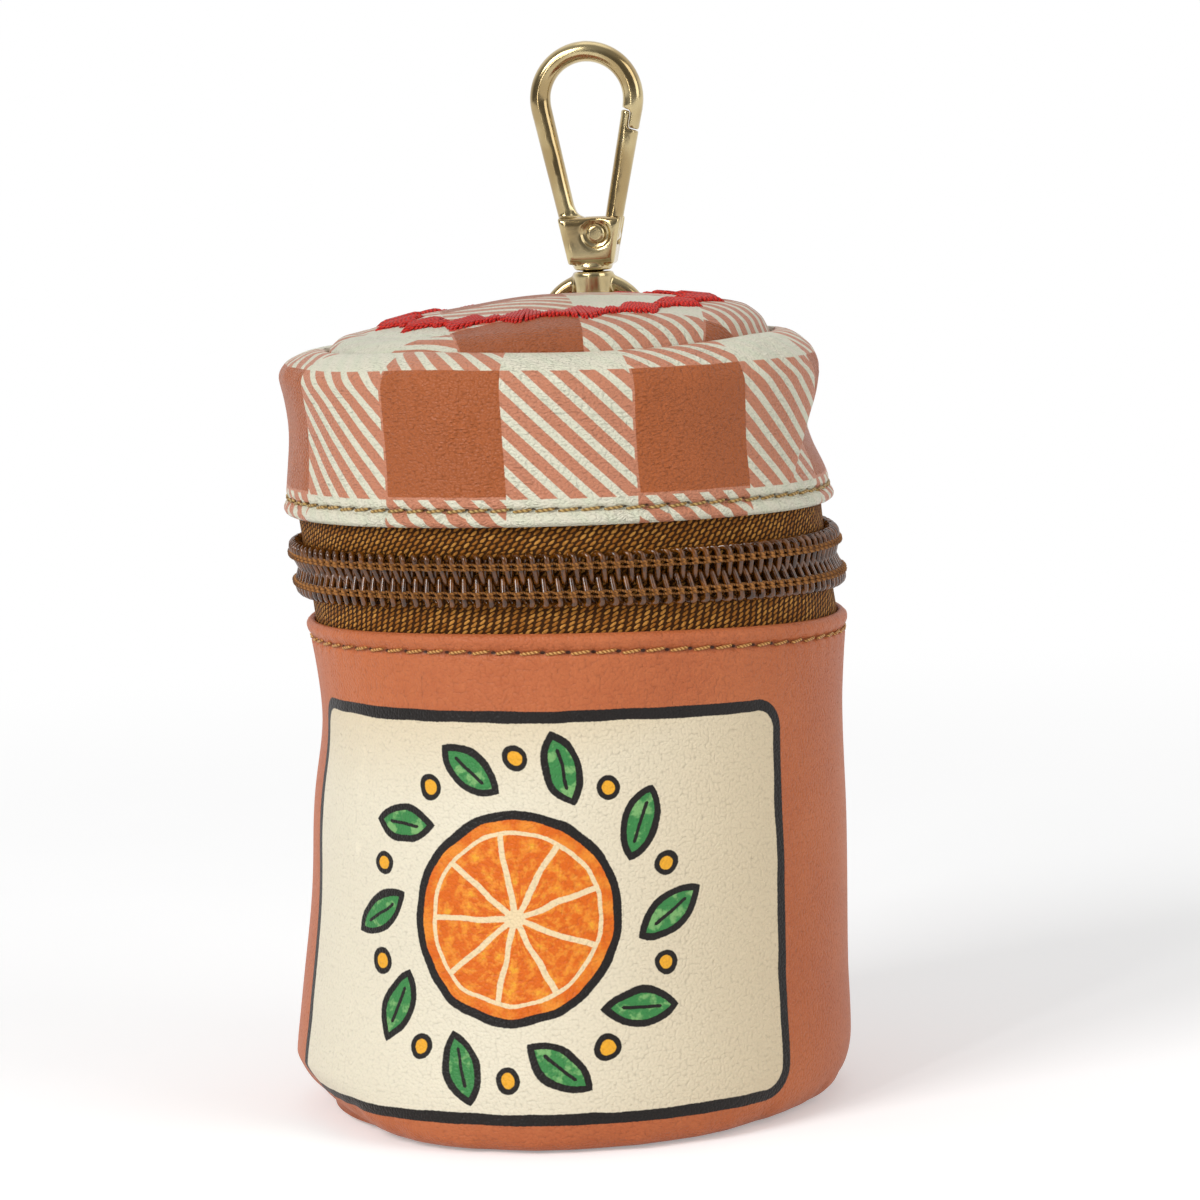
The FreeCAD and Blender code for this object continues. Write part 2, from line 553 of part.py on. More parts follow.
# ---------------------------------------------------------------- all nodes
def build():
    """Every node of the pouch by name."""
    body, lid = body_wall(), lid_band()
    return {
        "base_panel": base_panel(),
        "body_wall": body,
        "zip_tape_lower": zip_tape(BODY_H - TAPE_TUCK, ZIP_Z - TAPE_PART / 2),
        "zip_tape_upper": zip_tape(ZIP_Z + TAPE_PART / 2, HEM_Z + TAPE_TUCK),
        "zip_coil_lower": zip_coil(-1),
        "zip_coil_upper": zip_coil(1),
        "lid_band": lid,
        "lid_top": dome(),
        "lid_border": lid_border(),
        "back_strip": back_strip([body, lid]),
        "clasp_tab": clasp_tab(lid),
        "clasp_eye": clasp_eye(),
        "clasp_hook": clasp_hook(),
        "clasp_gate": clasp_gate(),
        "gate_rivet": gate_rivet(),
        "zip_slider": zip_slider(),
        "zip_pull": zip_pull(),
    }


os.makedirs("parts", exist_ok=True)
for name, shape in build().items():
    print(f"{name:16s} solids {len(shape.Solids)} valid {shape.isValid()} volume {shape.Volume:9.1f}")
    shape.exportStep(f"parts/{name}.step")
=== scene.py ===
"""Looks of a jar-shaped zip pouch: printed faux leather, a coil zip, a gingham lid and a gold swivel clasp.

Sizes are millimetres and become metres as each mesh is made. An azimuth is an angle round +Z from -Y, positive
towards +X. Soft pieces are first made round and true, then Slack settles them into the shape of a used pouch.
"""

import logging
import math
from dataclasses import dataclass, field
from enum import Enum
from functools import cached_property
from random import Random
from typing import Callable, Optional, Sequence, Union

import bmesh
import bpy
import numpy as np
from mathutils import Matrix, Vector


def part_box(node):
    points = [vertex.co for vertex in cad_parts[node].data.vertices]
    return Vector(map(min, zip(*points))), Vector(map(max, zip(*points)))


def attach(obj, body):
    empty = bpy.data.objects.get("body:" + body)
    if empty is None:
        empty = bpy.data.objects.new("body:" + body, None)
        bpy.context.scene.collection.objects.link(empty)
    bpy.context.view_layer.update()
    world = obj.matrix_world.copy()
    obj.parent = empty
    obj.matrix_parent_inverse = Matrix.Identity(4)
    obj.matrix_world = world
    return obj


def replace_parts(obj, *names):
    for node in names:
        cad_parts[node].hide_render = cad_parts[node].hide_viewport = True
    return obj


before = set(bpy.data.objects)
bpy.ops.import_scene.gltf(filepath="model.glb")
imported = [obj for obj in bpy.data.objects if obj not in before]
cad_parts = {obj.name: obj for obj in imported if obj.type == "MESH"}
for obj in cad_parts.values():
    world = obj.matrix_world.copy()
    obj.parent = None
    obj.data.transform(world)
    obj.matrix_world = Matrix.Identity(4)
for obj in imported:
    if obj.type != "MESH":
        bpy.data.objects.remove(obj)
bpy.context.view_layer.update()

MM = 0.001
FLAT = "flat"                      # the map that holds each corner's place on the flat cut piece, in millimetres
BACK = 180.0                       # azimuth of the back seam
WELD = 0.0005                      # millimetres within which two points are one
log = logging.getLogger("pouch")

Array = np.ndarray
Colour = tuple[float, float, float, float]
Knots = tuple[tuple[float, float], ...]
Material = bpy.types.Material
Piece = bpy.types.Object
Tree = bpy.types.NodeTree


class Slot(Enum):
    """The record's material slots."""

    TERRACOTTA = "terracotta_leather"
    GINGHAM = "gingham_leather"
    COIL = "coil_brown"
    TAPE = "tape_brown"
    TAN = "thread_tan"
    OLIVE = "thread_olive"
    RED = "thread_red"
    GOLD = "pale_gold"


class Row(Enum):
    """The two rows of coil, by the side of the zip's middle that each lies on."""

    LOWER = -1
    UPPER = 1


class Cells(Enum):
    """What a field of cells measures: the distance to a cell's middle or to its edge."""

    MIDDLE = "F1"
    EDGE = "DISTANCE_TO_EDGE"


def linear(red: int, green: int, blue: int) -> Colour:
    """Turns a colour of 8-bit display values into a shader's colour.

    Args:
        red, green, blue: display values from 0 to 255.

    Returns:
        The linear colour with an alpha of 1.
    """
    shares = [c / 255 for c in (red, green, blue)]
    return (*(s / 12.92 if s <= 0.04045 else ((s + 0.055) / 1.055) ** 2.4 for s in shares), 1.0)


def box_mm(node: str) -> tuple[Vector, Vector]:
    """Lowest and highest corners of a CAD node's box, in millimetres."""
    low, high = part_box(node)
    return low / MM, high / MM


# ---------------- shader tools
class Signal:
    """A value that varies over a surface: one output socket, whose arithmetic adds math nodes."""

    def __init__(self, tree: Tree, socket: bpy.types.NodeSocket) -> None:
        """Holds the tree and the socket."""
        self.tree = tree
        self.socket = socket

    def math(self, operation: str, *others: "Value", first: Optional["Value"] = None) -> "Signal":
        """Adds a math node.

        Args:
            operation: the node's operation.
            others: its further inputs.
            first: its first input, where that isn't this signal.

        Returns:
            The node's result.
        """
        node = self.tree.nodes.new("ShaderNodeMath")
        node.operation = operation
        values = (self, *others) if first is None else (first, self)
        for socket, value in zip(node.inputs, values):
            plug(self.tree, socket, value)
        return Signal(self.tree, node.outputs[0])

    def __add__(self, other: "Value") -> "Signal":
        """Sum."""
        return self.math("ADD", other)

    def __sub__(self, other: "Value") -> "Signal":
        """Difference."""
        return self.math("SUBTRACT", other)

    def __rsub__(self, other: "Value") -> "Signal":
        """Difference from a number."""
        return self.math("SUBTRACT", first=other)

    def __mul__(self, other: "Value") -> "Signal":
        """Product."""
        return self.math("MULTIPLY", other)

    def __truediv__(self, other: "Value") -> "Signal":
        """Quotient."""
        return self.math("DIVIDE", other)

    __radd__ = __add__
    __rmul__ = __mul__

    def size(self) -> "Signal":
        """Absolute value."""
        return self.math("ABSOLUTE")

    def least(self, other: "Value") -> "Signal":
        """The smaller of two."""
        return self.math("MINIMUM", other)

    def most(self, other: "Value") -> "Signal":
        """The larger of two."""
        return self.math("MAXIMUM", other)

    def length(self, other: "Value") -> "Signal":
        """Length of a line that runs this far one way and the other's far square to it."""
        return (self * self + other * other).math("SQRT")

    def wave(self, pitch: "Value") -> "Signal":
        """Sine wave of this length over a pitch, from 0 to 1."""
        return (self / pitch * (2 * math.pi)).math("SINE") * 0.5 + 0.5

    def fold(self, pitch: "Value") -> "Signal":
        """Signed distance to the nearest multiple of pitch."""
        return self - (self / pitch).math("ROUND") * pitch

    def smooth(self, low: "Value", high: "Value") -> "Signal":
        """Mask that rises smoothly from 0 where this is low to 1 where it is high."""
        bench, ends = Bench(self.tree), {"Value": self, "From Min": low, "From Max": high}
        return bench.out(bench.node("ShaderNodeMapRange", ends, interpolation_type="SMOOTHSTEP"), "Result")


Value = Union[Signal, float]
Paint = Union[Signal, Colour]


def plug(tree: Tree, socket: bpy.types.NodeSocket, value: Union[Value, Paint]) -> None:
    """Links a signal to a socket, or sets the socket's own value.

    Args:
        tree: the tree that holds the socket.
        socket: the input.
        value: a Signal, a number or a colour.
    """
    if isinstance(value, Signal):
        tree.links.new(value.socket, socket)
    else:
        socket.default_value = value


class Bench:
    """Adds nodes to one shader tree."""

    def __init__(self, tree: Tree) -> None:
        """Holds the tree."""
        self.tree = tree

    def node(self, kind: str, inputs: Optional[dict[Union[str, int], Union[Value, Paint]]] = None,
             **settings: object) -> bpy.types.Node:
        """Adds a node.

        Args:
            kind: the node's type.
            inputs: values or signals for its inputs, by name or number.
            settings: its properties.

        Returns:
            The node.
        """
        made = self.tree.nodes.new(kind)
        for name, value in settings.items():
            setattr(made, name, value)
        for name, value in (inputs or {}).items():
            plug(self.tree, made.inputs[name], value)
        return made

    def out(self, node: bpy.types.Node, name: Union[str, int] = 0) -> Signal:
        """One output of a node as a signal."""
        return Signal(self.tree, node.outputs[name])

    @cached_property
    def flat(self) -> Signal:
        """The place on the flat cut piece."""
        return self.out(self.node("ShaderNodeUVMap", uv_map=FLAT))

    def place(self) -> Signal:
        """The place in the piece's own metres."""
        return self.out(self.node("ShaderNodeTexCoord"), "Object")

    def split(self, vector: Signal) -> tuple[Signal, Signal, Signal]:
        """The three parts of a vector."""
        node = self.node("ShaderNodeSeparateXYZ", {"Vector": vector})
        return self.out(node, 0), self.out(node, 1), self.out(node, 2)

    def join(self, x: Value, y: Value, z: Value = 0.0) -> Signal:
        """A vector of three parts."""
        return self.out(self.node("ShaderNodeCombineXYZ", {"X": x, "Y": y, "Z": z}))

    def noise(self, vector: Signal, scale: Value, detail: float = 2.0, rough: float = 0.5) -> Signal:
        """Noise from 0 to 1 of some octaves, each finer one a share as strong."""
        return self.out(self.node("ShaderNodeTexNoise", {"Vector": vector, "Scale": scale, "Detail": detail,
                                                         "Roughness": rough}), "Fac")

    def cells(self, vector: Signal, measure: Cells) -> Signal:
        """Distance in a field of cells that are about 1 across."""
        return self.out(self.node("ShaderNodeTexVoronoi", {"Vector": vector, "Scale": 1.0},
                                  voronoi_dimensions="2D", feature=measure.value), "Distance")

    def mix(self, share: Value, low: Paint, high: Paint) -> Signal:
        """Colour from low at share 0 to high at share 1."""
        return self.out(self.node("ShaderNodeMix", {0: share, 6: low, 7: high}, data_type="RGBA"), 2)

    def tint(self, colour: Paint, share: Value) -> Signal:
        """A colour made lighter or darker by a share."""
        vector = colour if isinstance(colour, Signal) else colour[:3]
        return self.out(self.node("ShaderNodeVectorMath", {0: vector, "Scale": share}, operation="SCALE"))

    def bump(self, height: Signal, deep: float) -> Signal:
        """Normal of a height in millimetres that is deep times the signal."""
        return self.out(self.node("ShaderNodeBump", {"Height": height, "Distance": deep * MM, "Strength": 1.0}))

    def effect(self, group: Tree, **inputs: Value) -> dict[str, Signal]:
        """Places a node group.

        Args:
            group: the group.
            inputs: its inputs, by name with spaces as underscores.

        Returns:
            Its outputs by name.
        """
        node = self.node("ShaderNodeGroup", node_tree=group)
        for name, value in inputs.items():
            plug(self.tree, node.inputs[name.replace("_", " ")], value)
        return {socket.name: Signal(self.tree, socket) for socket in node.outputs}


class Effect:
    """A shader node group that is being built."""

    def __init__(self, name: str, inputs: dict[str, Optional[float]], outputs: Sequence[str]) -> None:
        """Makes the group's sockets.

        Args:
            name: the group's name.
            inputs: each input's default number, or None for a vector.
            outputs: names of the outputs, all numbers.
        """
        self.group = bpy.data.node_groups.new(name, "ShaderNodeTree")
        for label, default in inputs.items():
            kind = "NodeSocketVector" if default is None else "NodeSocketFloat"
            socket = self.group.interface.new_socket(label, in_out="INPUT", socket_type=kind)
            if default is not None:
                socket.default_value = default
        for label in outputs:
            self.group.interface.new_socket(label, in_out="OUTPUT", socket_type="NodeSocketFloat")
        self.bench = Bench(self.group)
        self.source = self.bench.node("NodeGroupInput")
        self.sink = self.bench.node("NodeGroupOutput")

    def read(self, label: str) -> Signal:
        """One input inside the group."""
        return self.bench.out(self.source, label)

    def give(self, label: str, value: Signal) -> None:
        """Links a value to an output."""
        plug(self.group, self.sink.inputs[label], value)


class Effects:
    """The node groups that more than one finish uses, each built once."""

    def __init__(self) -> None:
        """Builds every group."""
        self.grain = self.build_grain()
        self.ink = self.build_ink()
        self.ply = self.build_ply()
        self.wear = self.build_wear()
        self.needle = self.build_needle()

    def build_grain(self) -> Tree:
        """Embossed leather grain: fine round pebbles, and patches where longer wrinkles cross them.

        Returns:
            The group.
        """
        made = Effect("leather_grain", {"Flat": None, "Cell": 0.3, "Stretch": 1.0, "Turn": 0.0, "Fold": 0.3},
                      ("Height", "Tone"))
        bench = made.bench
        flat, cell, turn = made.read("Flat"), made.read("Cell"), made.read("Turn")
        fold_wide, fold_tall = 0.85, 0.42
        x, y, _ = bench.split(flat)
        across = x * turn.math("COSINE") + y * turn.math("SINE")
        along = y * turn.math("COSINE") - x * turn.math("SINE")
        sway = bench.noise(flat, 1.1, 2.0) - 0.5
        place = bench.join((across + sway * 0.3) / cell, (along - sway * 0.3) / (cell * made.read("Stretch")))
        pebble = bench.cells(place, Cells.MIDDLE)
        waved = bench.join(across / fold_wide + sway * 0.7, along / fold_tall + bench.noise(flat, 0.7, 1.0) * 0.8)
        fold = bench.cells(waved, Cells.EDGE).smooth(0.0, 0.45)
        patch = (bench.noise(flat, 0.11, 1.0).smooth(0.4, 0.62) * 0.8 + 0.2) * made.read("Fold")
        fine = 1.0 - pebble * pebble * 1.8
        made.give("Height", fine * 0.75 + fold * patch * 1.1 + bench.noise(flat, 0.8, 2.0) * 0.3)
        made.give("Tone", bench.noise(flat, 0.05, 3.0, 0.55) * 0.7 + bench.noise(flat, 1.1, 2.0) * 0.3)
        return made.group

    def build_ink(self) -> Tree:
        """Edge of a printed field, a little frayed by the grain under it.

        Returns:
            The group, whose Distance is negative inside the field.
        """
        made = Effect("ink_edge", {"Flat": None, "Distance": 0.0, "Fray": 0.06, "Soft": 0.06}, ("Mask",))
        bench = made.bench
        frayed = made.read("Distance") + (bench.noise(made.read("Flat"), 2.6, 2.0) - 0.5) * made.read("Fray") * 2.0
        soft = made.read("Soft")
        made.give("Mask", 1.0 - frayed.smooth(0.0 - soft, soft))
        return made.group

    def build_ply(self) -> Tree:
        """Twisted plies of a thread, along the first flat direction.

        Returns:
            The group.
        """
        made = Effect("thread_ply", {"Flat": None, "Pitch": 0.5, "Lean": 0.8}, ("Height", "Tone"))
        bench = made.bench
        x, y, _ = bench.split(made.read("Flat"))
        made.give("Height", (x + y * made.read("Lean")).wave(made.read("Pitch")))
        made.give("Tone", bench.noise(bench.join(x * 1.5, y * 9.0), 1.6, 2.0))
        return made.group

    def build_wear(self) -> Tree:
        """Wear along edges, from how sharply the surface bends, broken up by noise.

        Returns:
            The group.
        """
        made = Effect("edge_wear", {"Scale": 900.0, "Amount": 1.0}, ("Mask",))
        bench = made.bench
        bend = bench.out(bench.node("ShaderNodeNewGeometry"), "Pointiness")
        patches = bench.noise(bench.place(), made.read("Scale"), 3.0, 0.6)
        made.give("Mask", bend.smooth(0.52, 0.62) * patches.smooth(0.35, 0.65) * made.read("Amount"))
        return made.group

    def build_needle(self) -> Tree:
        """Needle holes along a level row, and the shaded groove that they lie in.

        Returns:
            The group.
        """
        made = Effect("needle_row", {"Flat": None, "Row": 0.0, "Pitch": 2.5, "Phase": 0.0}, ("Hole", "Groove"))
        bench = made.bench
        hole_long, hole_tall = 0.34, 0.2
        x, y, _ = bench.split(made.read("Flat"))
        up = y - made.read("Row") + (bench.noise(made.read("Flat"), 0.6, 1.0) - 0.5) * 0.12
        side = (x - made.read("Phase")).fold(made.read("Pitch"))
        reach = (side / hole_long).length(up / hole_tall)
        made.give("Hole", 1.0 - reach.smooth(0.55, 1.15))
        made.give("Groove", 1.0 - up.size().smooth(0.05, 0.42))
        return made.group


# ---------------- finishes
class Skin(Bench):
    """The bench of one material, with the shared effects at hand."""

    def __init__(self, name: str, effects: Optional[Effects] = None) -> None:
        """Makes an empty material.

        Args:
            name: its name.
            effects: the shared node groups.
        """
        self.material = bpy.data.materials.new(name)
        self.material.use_nodes = True
        self.material.node_tree.nodes.clear()
        self.effects = effects
        super().__init__(self.material.node_tree)

    def surface(self, **inputs: Value) -> None:
        """Adds the material's shader and links it to the output.

        Args:
            inputs: the shader's inputs, by name with spaces as underscores.
        """
        shader = self.node("ShaderNodeBsdfPrincipled", {name.replace("_", " "): value
                                                        for name, value in inputs.items()})
        output = self.node("ShaderNodeOutputMaterial")
        self.tree.links.new(shader.outputs[0], output.inputs["Surface"])

    def wear(self, scale: float, amount: float) -> Signal:
        """Mask of the piece's worn edges."""
        return self.effect(self.effects.wear, Scale=scale, Amount=amount)["Mask"]

    def mask(self, distance: Signal, fray: float = 0.07) -> Signal:
        """Mask of a printed field, from the signed distance to its edge."""
        return self.effect(self.effects.ink, Flat=self.flat, Distance=distance, Fray=fray)["Mask"]

    def ink(self, distance: Signal, below: Paint, colour: Paint) -> Signal:
        """Prints a field over what is below it."""
        return self.mix(self.mask(distance), below, colour)


class Finish:
    """A surface finish. Each kind dresses a skin in its own way."""

    name: str

    def make(self, effects: Effects) -> Material:
        """Makes the finish's material.

        Args:
            effects: the shared node groups.

        Returns:
            The material.
        """
        skin = Skin(self.name, effects)
        self.dress(skin)
        return skin.material

    def dress(self, skin: Skin) -> None:
        """Lays out a skin's nodes, as each kind of finish does."""
        raise NotImplementedError


@dataclass(frozen=True)
class LabelPrint:
    """The printed label: a cream field with a dark line, a cut fruit wheel and a wreath of leaves."""

    middle_az: float = -3.5
    middle_z: float = 25.45
    half_wide: float = 32.3
    half_tall: float = 22.25
    corner: float = 3.8
    line: float = 1.25
    wheel_r: float = 11.6
    wheel_line: float = 0.95
    peel: float = 1.15
    pith: float = 0.45
    spoke: float = 0.32
    hub_r: float = 1.1
    wedges: int = 9
    wreath_r: float = 16.9
    leaves: int = 10
    leaf_half_long: float = 3.7
    leaf_half_wide: float = 1.75
    leaf_lean: float = 0.62
    leaf_line: float = 0.77
    leaf_inset: float = 0.35
    vein: float = 0.2
    berry_r: float = 1.35
    berry_line: float = 0.6
    cream: Colour = linear(233, 224, 201)
    # The cream in painted shade: warmer and darker towards the label's right and top.
    painted_side_shade: Colour = linear(222, 202, 167)
    dark: Colour = linear(24, 18, 15)
    orange: Colour = linear(223, 104, 14)
    flesh: Colour = linear(238, 142, 42)
    pale: Colour = linear(240, 216, 172)
    green: Colour = linear(58, 134, 70)
    light_green: Colour = linear(124, 178, 108)
    berry: Colour = linear(240, 172, 44)

    def frame_distance(self, x: Signal, y: Signal) -> Signal:
        """Measures to the label's outer edge.

        Args:
            x, y: the place from the label's middle.

        Returns:
            The distance, negative inside.
        """
        reach_x = x.size() - (self.half_wide - self.corner)
        reach_y = y.size() - (self.half_tall - self.corner)
        outside = reach_x.most(0.0).length(reach_y.most(0.0))
        return outside + reach_x.most(reach_y).least(0.0) - self.corner

    def leaf_distance(self, x: Signal, y: Signal) -> Signal:
        """Measures to the edge of a pointed leaf between two arcs.

        Args:
            x, y: the place from the leaf's middle, along it and across it.

        Returns:
            The distance, negative inside.
        """
        drop = (self.leaf_half_long ** 2 - self.leaf_half_wide ** 2) / (2 * self.leaf_half_wide)
        return x.length(y.size() + drop) - (drop + self.leaf_half_wide)

    def paint(self, skin: Skin, ground: Signal, wall_r: float) -> Signal:
        """Paints the label over the leather's colour.

        Args:
            skin: the material's skin.
            ground: the leather's colour.
            wall_r: the radius that the flat piece was unrolled at.

        Returns:
            The colour with the label on it.
        """
        flat = skin.flat
        u, v, _ = skin.split(flat)
        x, y = u - math.radians(self.middle_az) * wall_r, v - self.middle_z
        wobble = skin.noise(flat, 0.16, 1.0) - 0.5
        rim = self.frame_distance(x, y) + wobble * 0.3
        colour = skin.ink(rim, ground, self.dark)
        # Painted shade: the cream turns warmer and darker towards the right and the top.
        painted_side_shade = x.smooth(-6.0, 34.0).most(y.smooth(10.0, 26.0)) * 0.85
        cream = skin.tint(skin.mix(painted_side_shade, self.cream, self.painted_side_shade), skin.noise(flat, 0.07, 2.0) * 0.05 + 0.975)
        colour = skin.ink(rim + self.line + wobble * 0.275, colour, cream)

        sway_x = x + (skin.noise(flat, 0.21, 1.0) - 0.5) * 0.9
        sway_y = y + (skin.noise(skin.join(v, u), 0.21, 1.0) - 0.5) * 0.9
        radius, angle = sway_x.length(sway_y), sway_y.math("ARCTAN2", sway_x)
        return self.paint_wreath(skin, radius, angle, self.paint_wheel(skin, radius, angle, colour))

    def paint_wheel(self, skin: Skin, radius: Signal, angle: Signal, colour: Signal) -> Signal:
        """Paints the cut wheel: dark line, peel, pith and wedges of flesh.

        Args:
            skin: the material's skin.
            radius, angle: the place from the wheel's middle.
            colour: what is below.

        Returns:
            The colour with the wheel on it.
        """
        step = 2 * math.pi / self.wedges
        peel_r = self.wheel_r - self.wheel_line
        pith_r = peel_r - self.peel
        blotch = skin.noise(skin.flat, 0.35, 3.0, 0.6)
        colour = skin.ink(radius - self.wheel_r, colour, self.dark)
        colour = skin.ink(radius - peel_r, colour, skin.mix(blotch.smooth(0.4, 0.65), self.orange, self.flesh))
        colour = skin.ink(radius - pith_r, colour, self.pale)
        to_spoke = (step / 2 - angle.fold(step).size()).math("SINE") * radius
        wedge = (self.spoke - to_spoke).most(radius - (pith_r - self.pith)).most(self.hub_r - radius)
        drops = skin.noise(skin.join(angle * 6.0, radius * 0.9), 0.9, 2.0, 0.6)
        flesh = skin.mix(drops.smooth(0.42, 0.62), self.orange, self.flesh)
        return skin.ink(wedge, colour, skin.mix(drops.smooth(0.62, 0.7) * 0.7, flesh, self.berry))

    def paint_wreath(self, skin: Skin, radius: Signal, angle: Signal, colour: Signal) -> Signal:
        """Paints the ring of leaves and round berries about the wheel.

        Args:
            skin: the material's skin.
            radius, angle: the place from the wheel's middle.
            colour: what is below.

        Returns:
            The colour with the wreath on it.
        """
        step = 2 * math.pi / self.leaves
        side = angle.fold(step)
        near_x, near_y = radius * side.math("COSINE") - self.wreath_r, radius * side.math("SINE")
        lean_c, lean_s = math.cos(self.leaf_lean), math.sin(self.leaf_lean)
        leaf_x, leaf_y = near_x * lean_c + near_y * lean_s, near_y * lean_c - near_x * lean_s
        leaf = self.leaf_distance(leaf_x, leaf_y) + self.leaf_inset
        vein = (leaf_y + leaf_x * 0.04).size() + (leaf_x.size() - self.leaf_half_long * 0.55).most(0.0)
        wash = skin.noise(skin.flat, 0.5, 3.0, 0.6)
        colour = skin.ink(leaf - self.leaf_line, colour, self.dark)
        colour = skin.ink(leaf, colour, skin.mix(wash.smooth(0.5, 0.62), self.green, self.light_green))
        colour = skin.ink(vein - self.vein, colour, self.dark)
        turned = (angle + step / 2).fold(step)
        berry_x, berry_y = radius * turned.math("COSINE") - self.wreath_r - 0.4, radius * turned.math("SINE")
        berry = berry_x.length(berry_y) - self.berry_r
        return skin.ink(berry + self.berry_line, skin.ink(berry, colour, self.dark), self.berry)


@dataclass(frozen=True)
class NeedleRow:
    """Where a row of stitches pierces a leather, on its flat piece, and the painted shade in its holes and groove."""

    row: float
    pitch: float
    phase: float
    shade: float = 0.35
    # The holes' colour: painted shade.
    dark: Colour = linear(38, 20, 10)

    def mark(self, skin: Skin, colour: Signal) -> Signal:
        """Paints shade over a colour at the holes and a little in the groove.

        Args:
            skin: the material's skin.
            colour: the colour.

        Returns:
            The darkened colour.
        """
        row = skin.effect(skin.effects.needle, Flat=skin.flat, Row=self.row, Pitch=self.pitch, Phase=self.phase)
        colour = skin.tint(colour, 1.0 - row["Groove"] * self.shade)
        return skin.mix(row["Hole"] * 0.9, colour, self.dark)


@dataclass(frozen=True)
class Leather(Finish):
    """Embossed faux leather with painted shade in its grain's pits. Where it has a label, that is printed on it, and
    hairline creases in painted shade run below the rim.
    """

    name: str
    colour: Colour = linear(195, 110, 66)
    shade: Colour = linear(183, 98, 57)
    cell: float = 0.33
    fold: float = 0.05
    roughness: float = 0.50
    grain_deep: float = 0.072
    crease_x: float = -2.0
    crease_z: float = 49.2
    crease_wide: float = 30.0
    crease_tall: float = 3.6
    label: Optional[LabelPrint] = None
    needles: Optional[NeedleRow] = None
    wall_r: float = 30.25

    def creases(self, skin: Skin) -> Signal:
        """Draws hairline creases that run up the leather, inside a soft oval.

        Args:
            skin: the material's skin.

        Returns:
            Their mask.
        """
        x, y, _ = skin.split(skin.flat)
        sway = skin.noise(skin.flat, 0.35, 3.0, 0.6) - 0.5
        line = skin.cells(skin.join(x / 2.6 + sway * 0.9, y / 9.0), Cells.EDGE)
        across, up = (x - self.crease_x) / self.crease_wide, (y - self.crease_z) / self.crease_tall
        broken = skin.noise(skin.join(x * 0.5, y * 0.25), 0.8, 2.0).smooth(0.45, 0.62)
        return (1.0 - line.smooth(0.0, 0.045)) * (1.0 - (across * across + up * up).smooth(0.45, 1.0)) * broken

    def dress(self, skin: Skin) -> None:
        """Lays out the shader's nodes.

        Args:
            skin: the material's skin.
        """
        flat = skin.flat
        grain = skin.effect(skin.effects.grain, Flat=flat, Cell=self.cell, Fold=self.fold)
        height = grain["Height"]
        colour = skin.mix(grain["Tone"].smooth(0.35, 0.65), self.shade, self.colour)
        if self.label:
            colour = self.label.paint(skin, colour, self.wall_r)
        # Painted shade at the needle holes and in their groove.
        if self.needles:
            colour = self.needles.mark(skin, colour)
        if self.label:
            line = self.creases(skin)
            # Painted shade along the creases, which are also dented.
            colour = skin.tint(colour, 1.0 - line * 0.12)
            height = height - line * 0.5
        wear = skin.wear(700.0, 0.25)
        # Painted shade: the grain's pits are darker.
        colour = skin.tint(colour, grain["Height"] * 0.08 + 0.95)
        colour = skin.mix(wear, colour, skin.tint(colour, 1.25))
        rough = grain["Height"] * -0.06 + self.roughness + wear * 0.1
        skin.surface(Base_Color=colour, Roughness=rough, Normal=skin.bump(height, self.grain_deep),
                     Specular_IOR_Level=0.3)


@dataclass(frozen=True)
class Gingham(Finish):
    """Faux leather printed with terracotta and cream checks, the half-tone checks as slanted stripes."""

    name: str = "gingham_leather"
    needles: Optional[NeedleRow] = None
    cell_wide: float = 14.0
    cell_tall: float = 13.8
    stripe: float = 3.1
    ink_share: float = 0.59
    slant: float = 1.0
    overlap: float = 0.28
    roughness: float = 0.46
    grain_deep: float = 0.10
    solid: Colour = linear(169, 91, 47)
    light: Colour = linear(196, 129, 99)
    cream: Colour = linear(222, 217, 196)
    pale_green: Colour = linear(205, 211, 184)

    def dress(self, skin: Skin) -> None:
        """Lays out the shader's nodes; a check is inked from flat x and y 0 to one cell.

        Args:
            skin: the material's skin.
        """
        flat = skin.flat
        u, v, _ = skin.split(flat)
        sway = (skin.noise(flat, 0.3, 1.0) - 0.5) * 0.16

        def bands(place: Signal, cell: float, inset: float = 0.0) -> Signal:
            """Mask of every second band of one cell's width, inset at one edge."""
            return skin.mask((place - (cell + inset) / 2).fold(2 * cell).size() - (cell - inset) / 2 + sway, 0.05)

        column, row = bands(u, self.cell_wide), bands(v, self.cell_tall)
        both = column * row
        one = column + row - both * 2.0
        slant = u * self.slant + v
        stripe = skin.mask((slant.fold(self.stripe).size() - self.stripe * self.ink_share / 2) * 0.72, 0.05)
        deep = bands(u, self.cell_wide, self.overlap) * bands(v, self.cell_tall, self.overlap)
        grain = skin.effect(skin.effects.grain, Flat=flat, Cell=0.34, Stretch=0.8, Turn=0.08, Fold=0.9)
        faint = slant.wave(self.stripe) * skin.noise(flat, 0.25, 2.0) * 0.8
        ground = skin.mix(faint, self.cream, self.pale_green)
        ink = skin.mix(grain["Tone"].smooth(0.3, 0.7), skin.tint(self.solid, 0.94), skin.tint(self.solid, 1.05))
        colour = skin.mix(deep, skin.mix(one * stripe + both, ground, self.light), ink)
        # Painted shade at the needle holes and in their groove.
        if self.needles:
            colour = self.needles.mark(skin, colour)
        wear = skin.wear(700.0, 0.1)
        # Painted shade: the grain's pits are darker; worn edges show the cream.
        colour = skin.mix(wear, skin.tint(colour, grain["Height"] * 0.10 + 0.92), self.cream)
        skin.surface(Base_Color=colour, Roughness=grain["Height"] * -0.08 + self.roughness,
                     Normal=skin.bump(grain["Height"], self.grain_deep), Specular_IOR_Level=0.28)


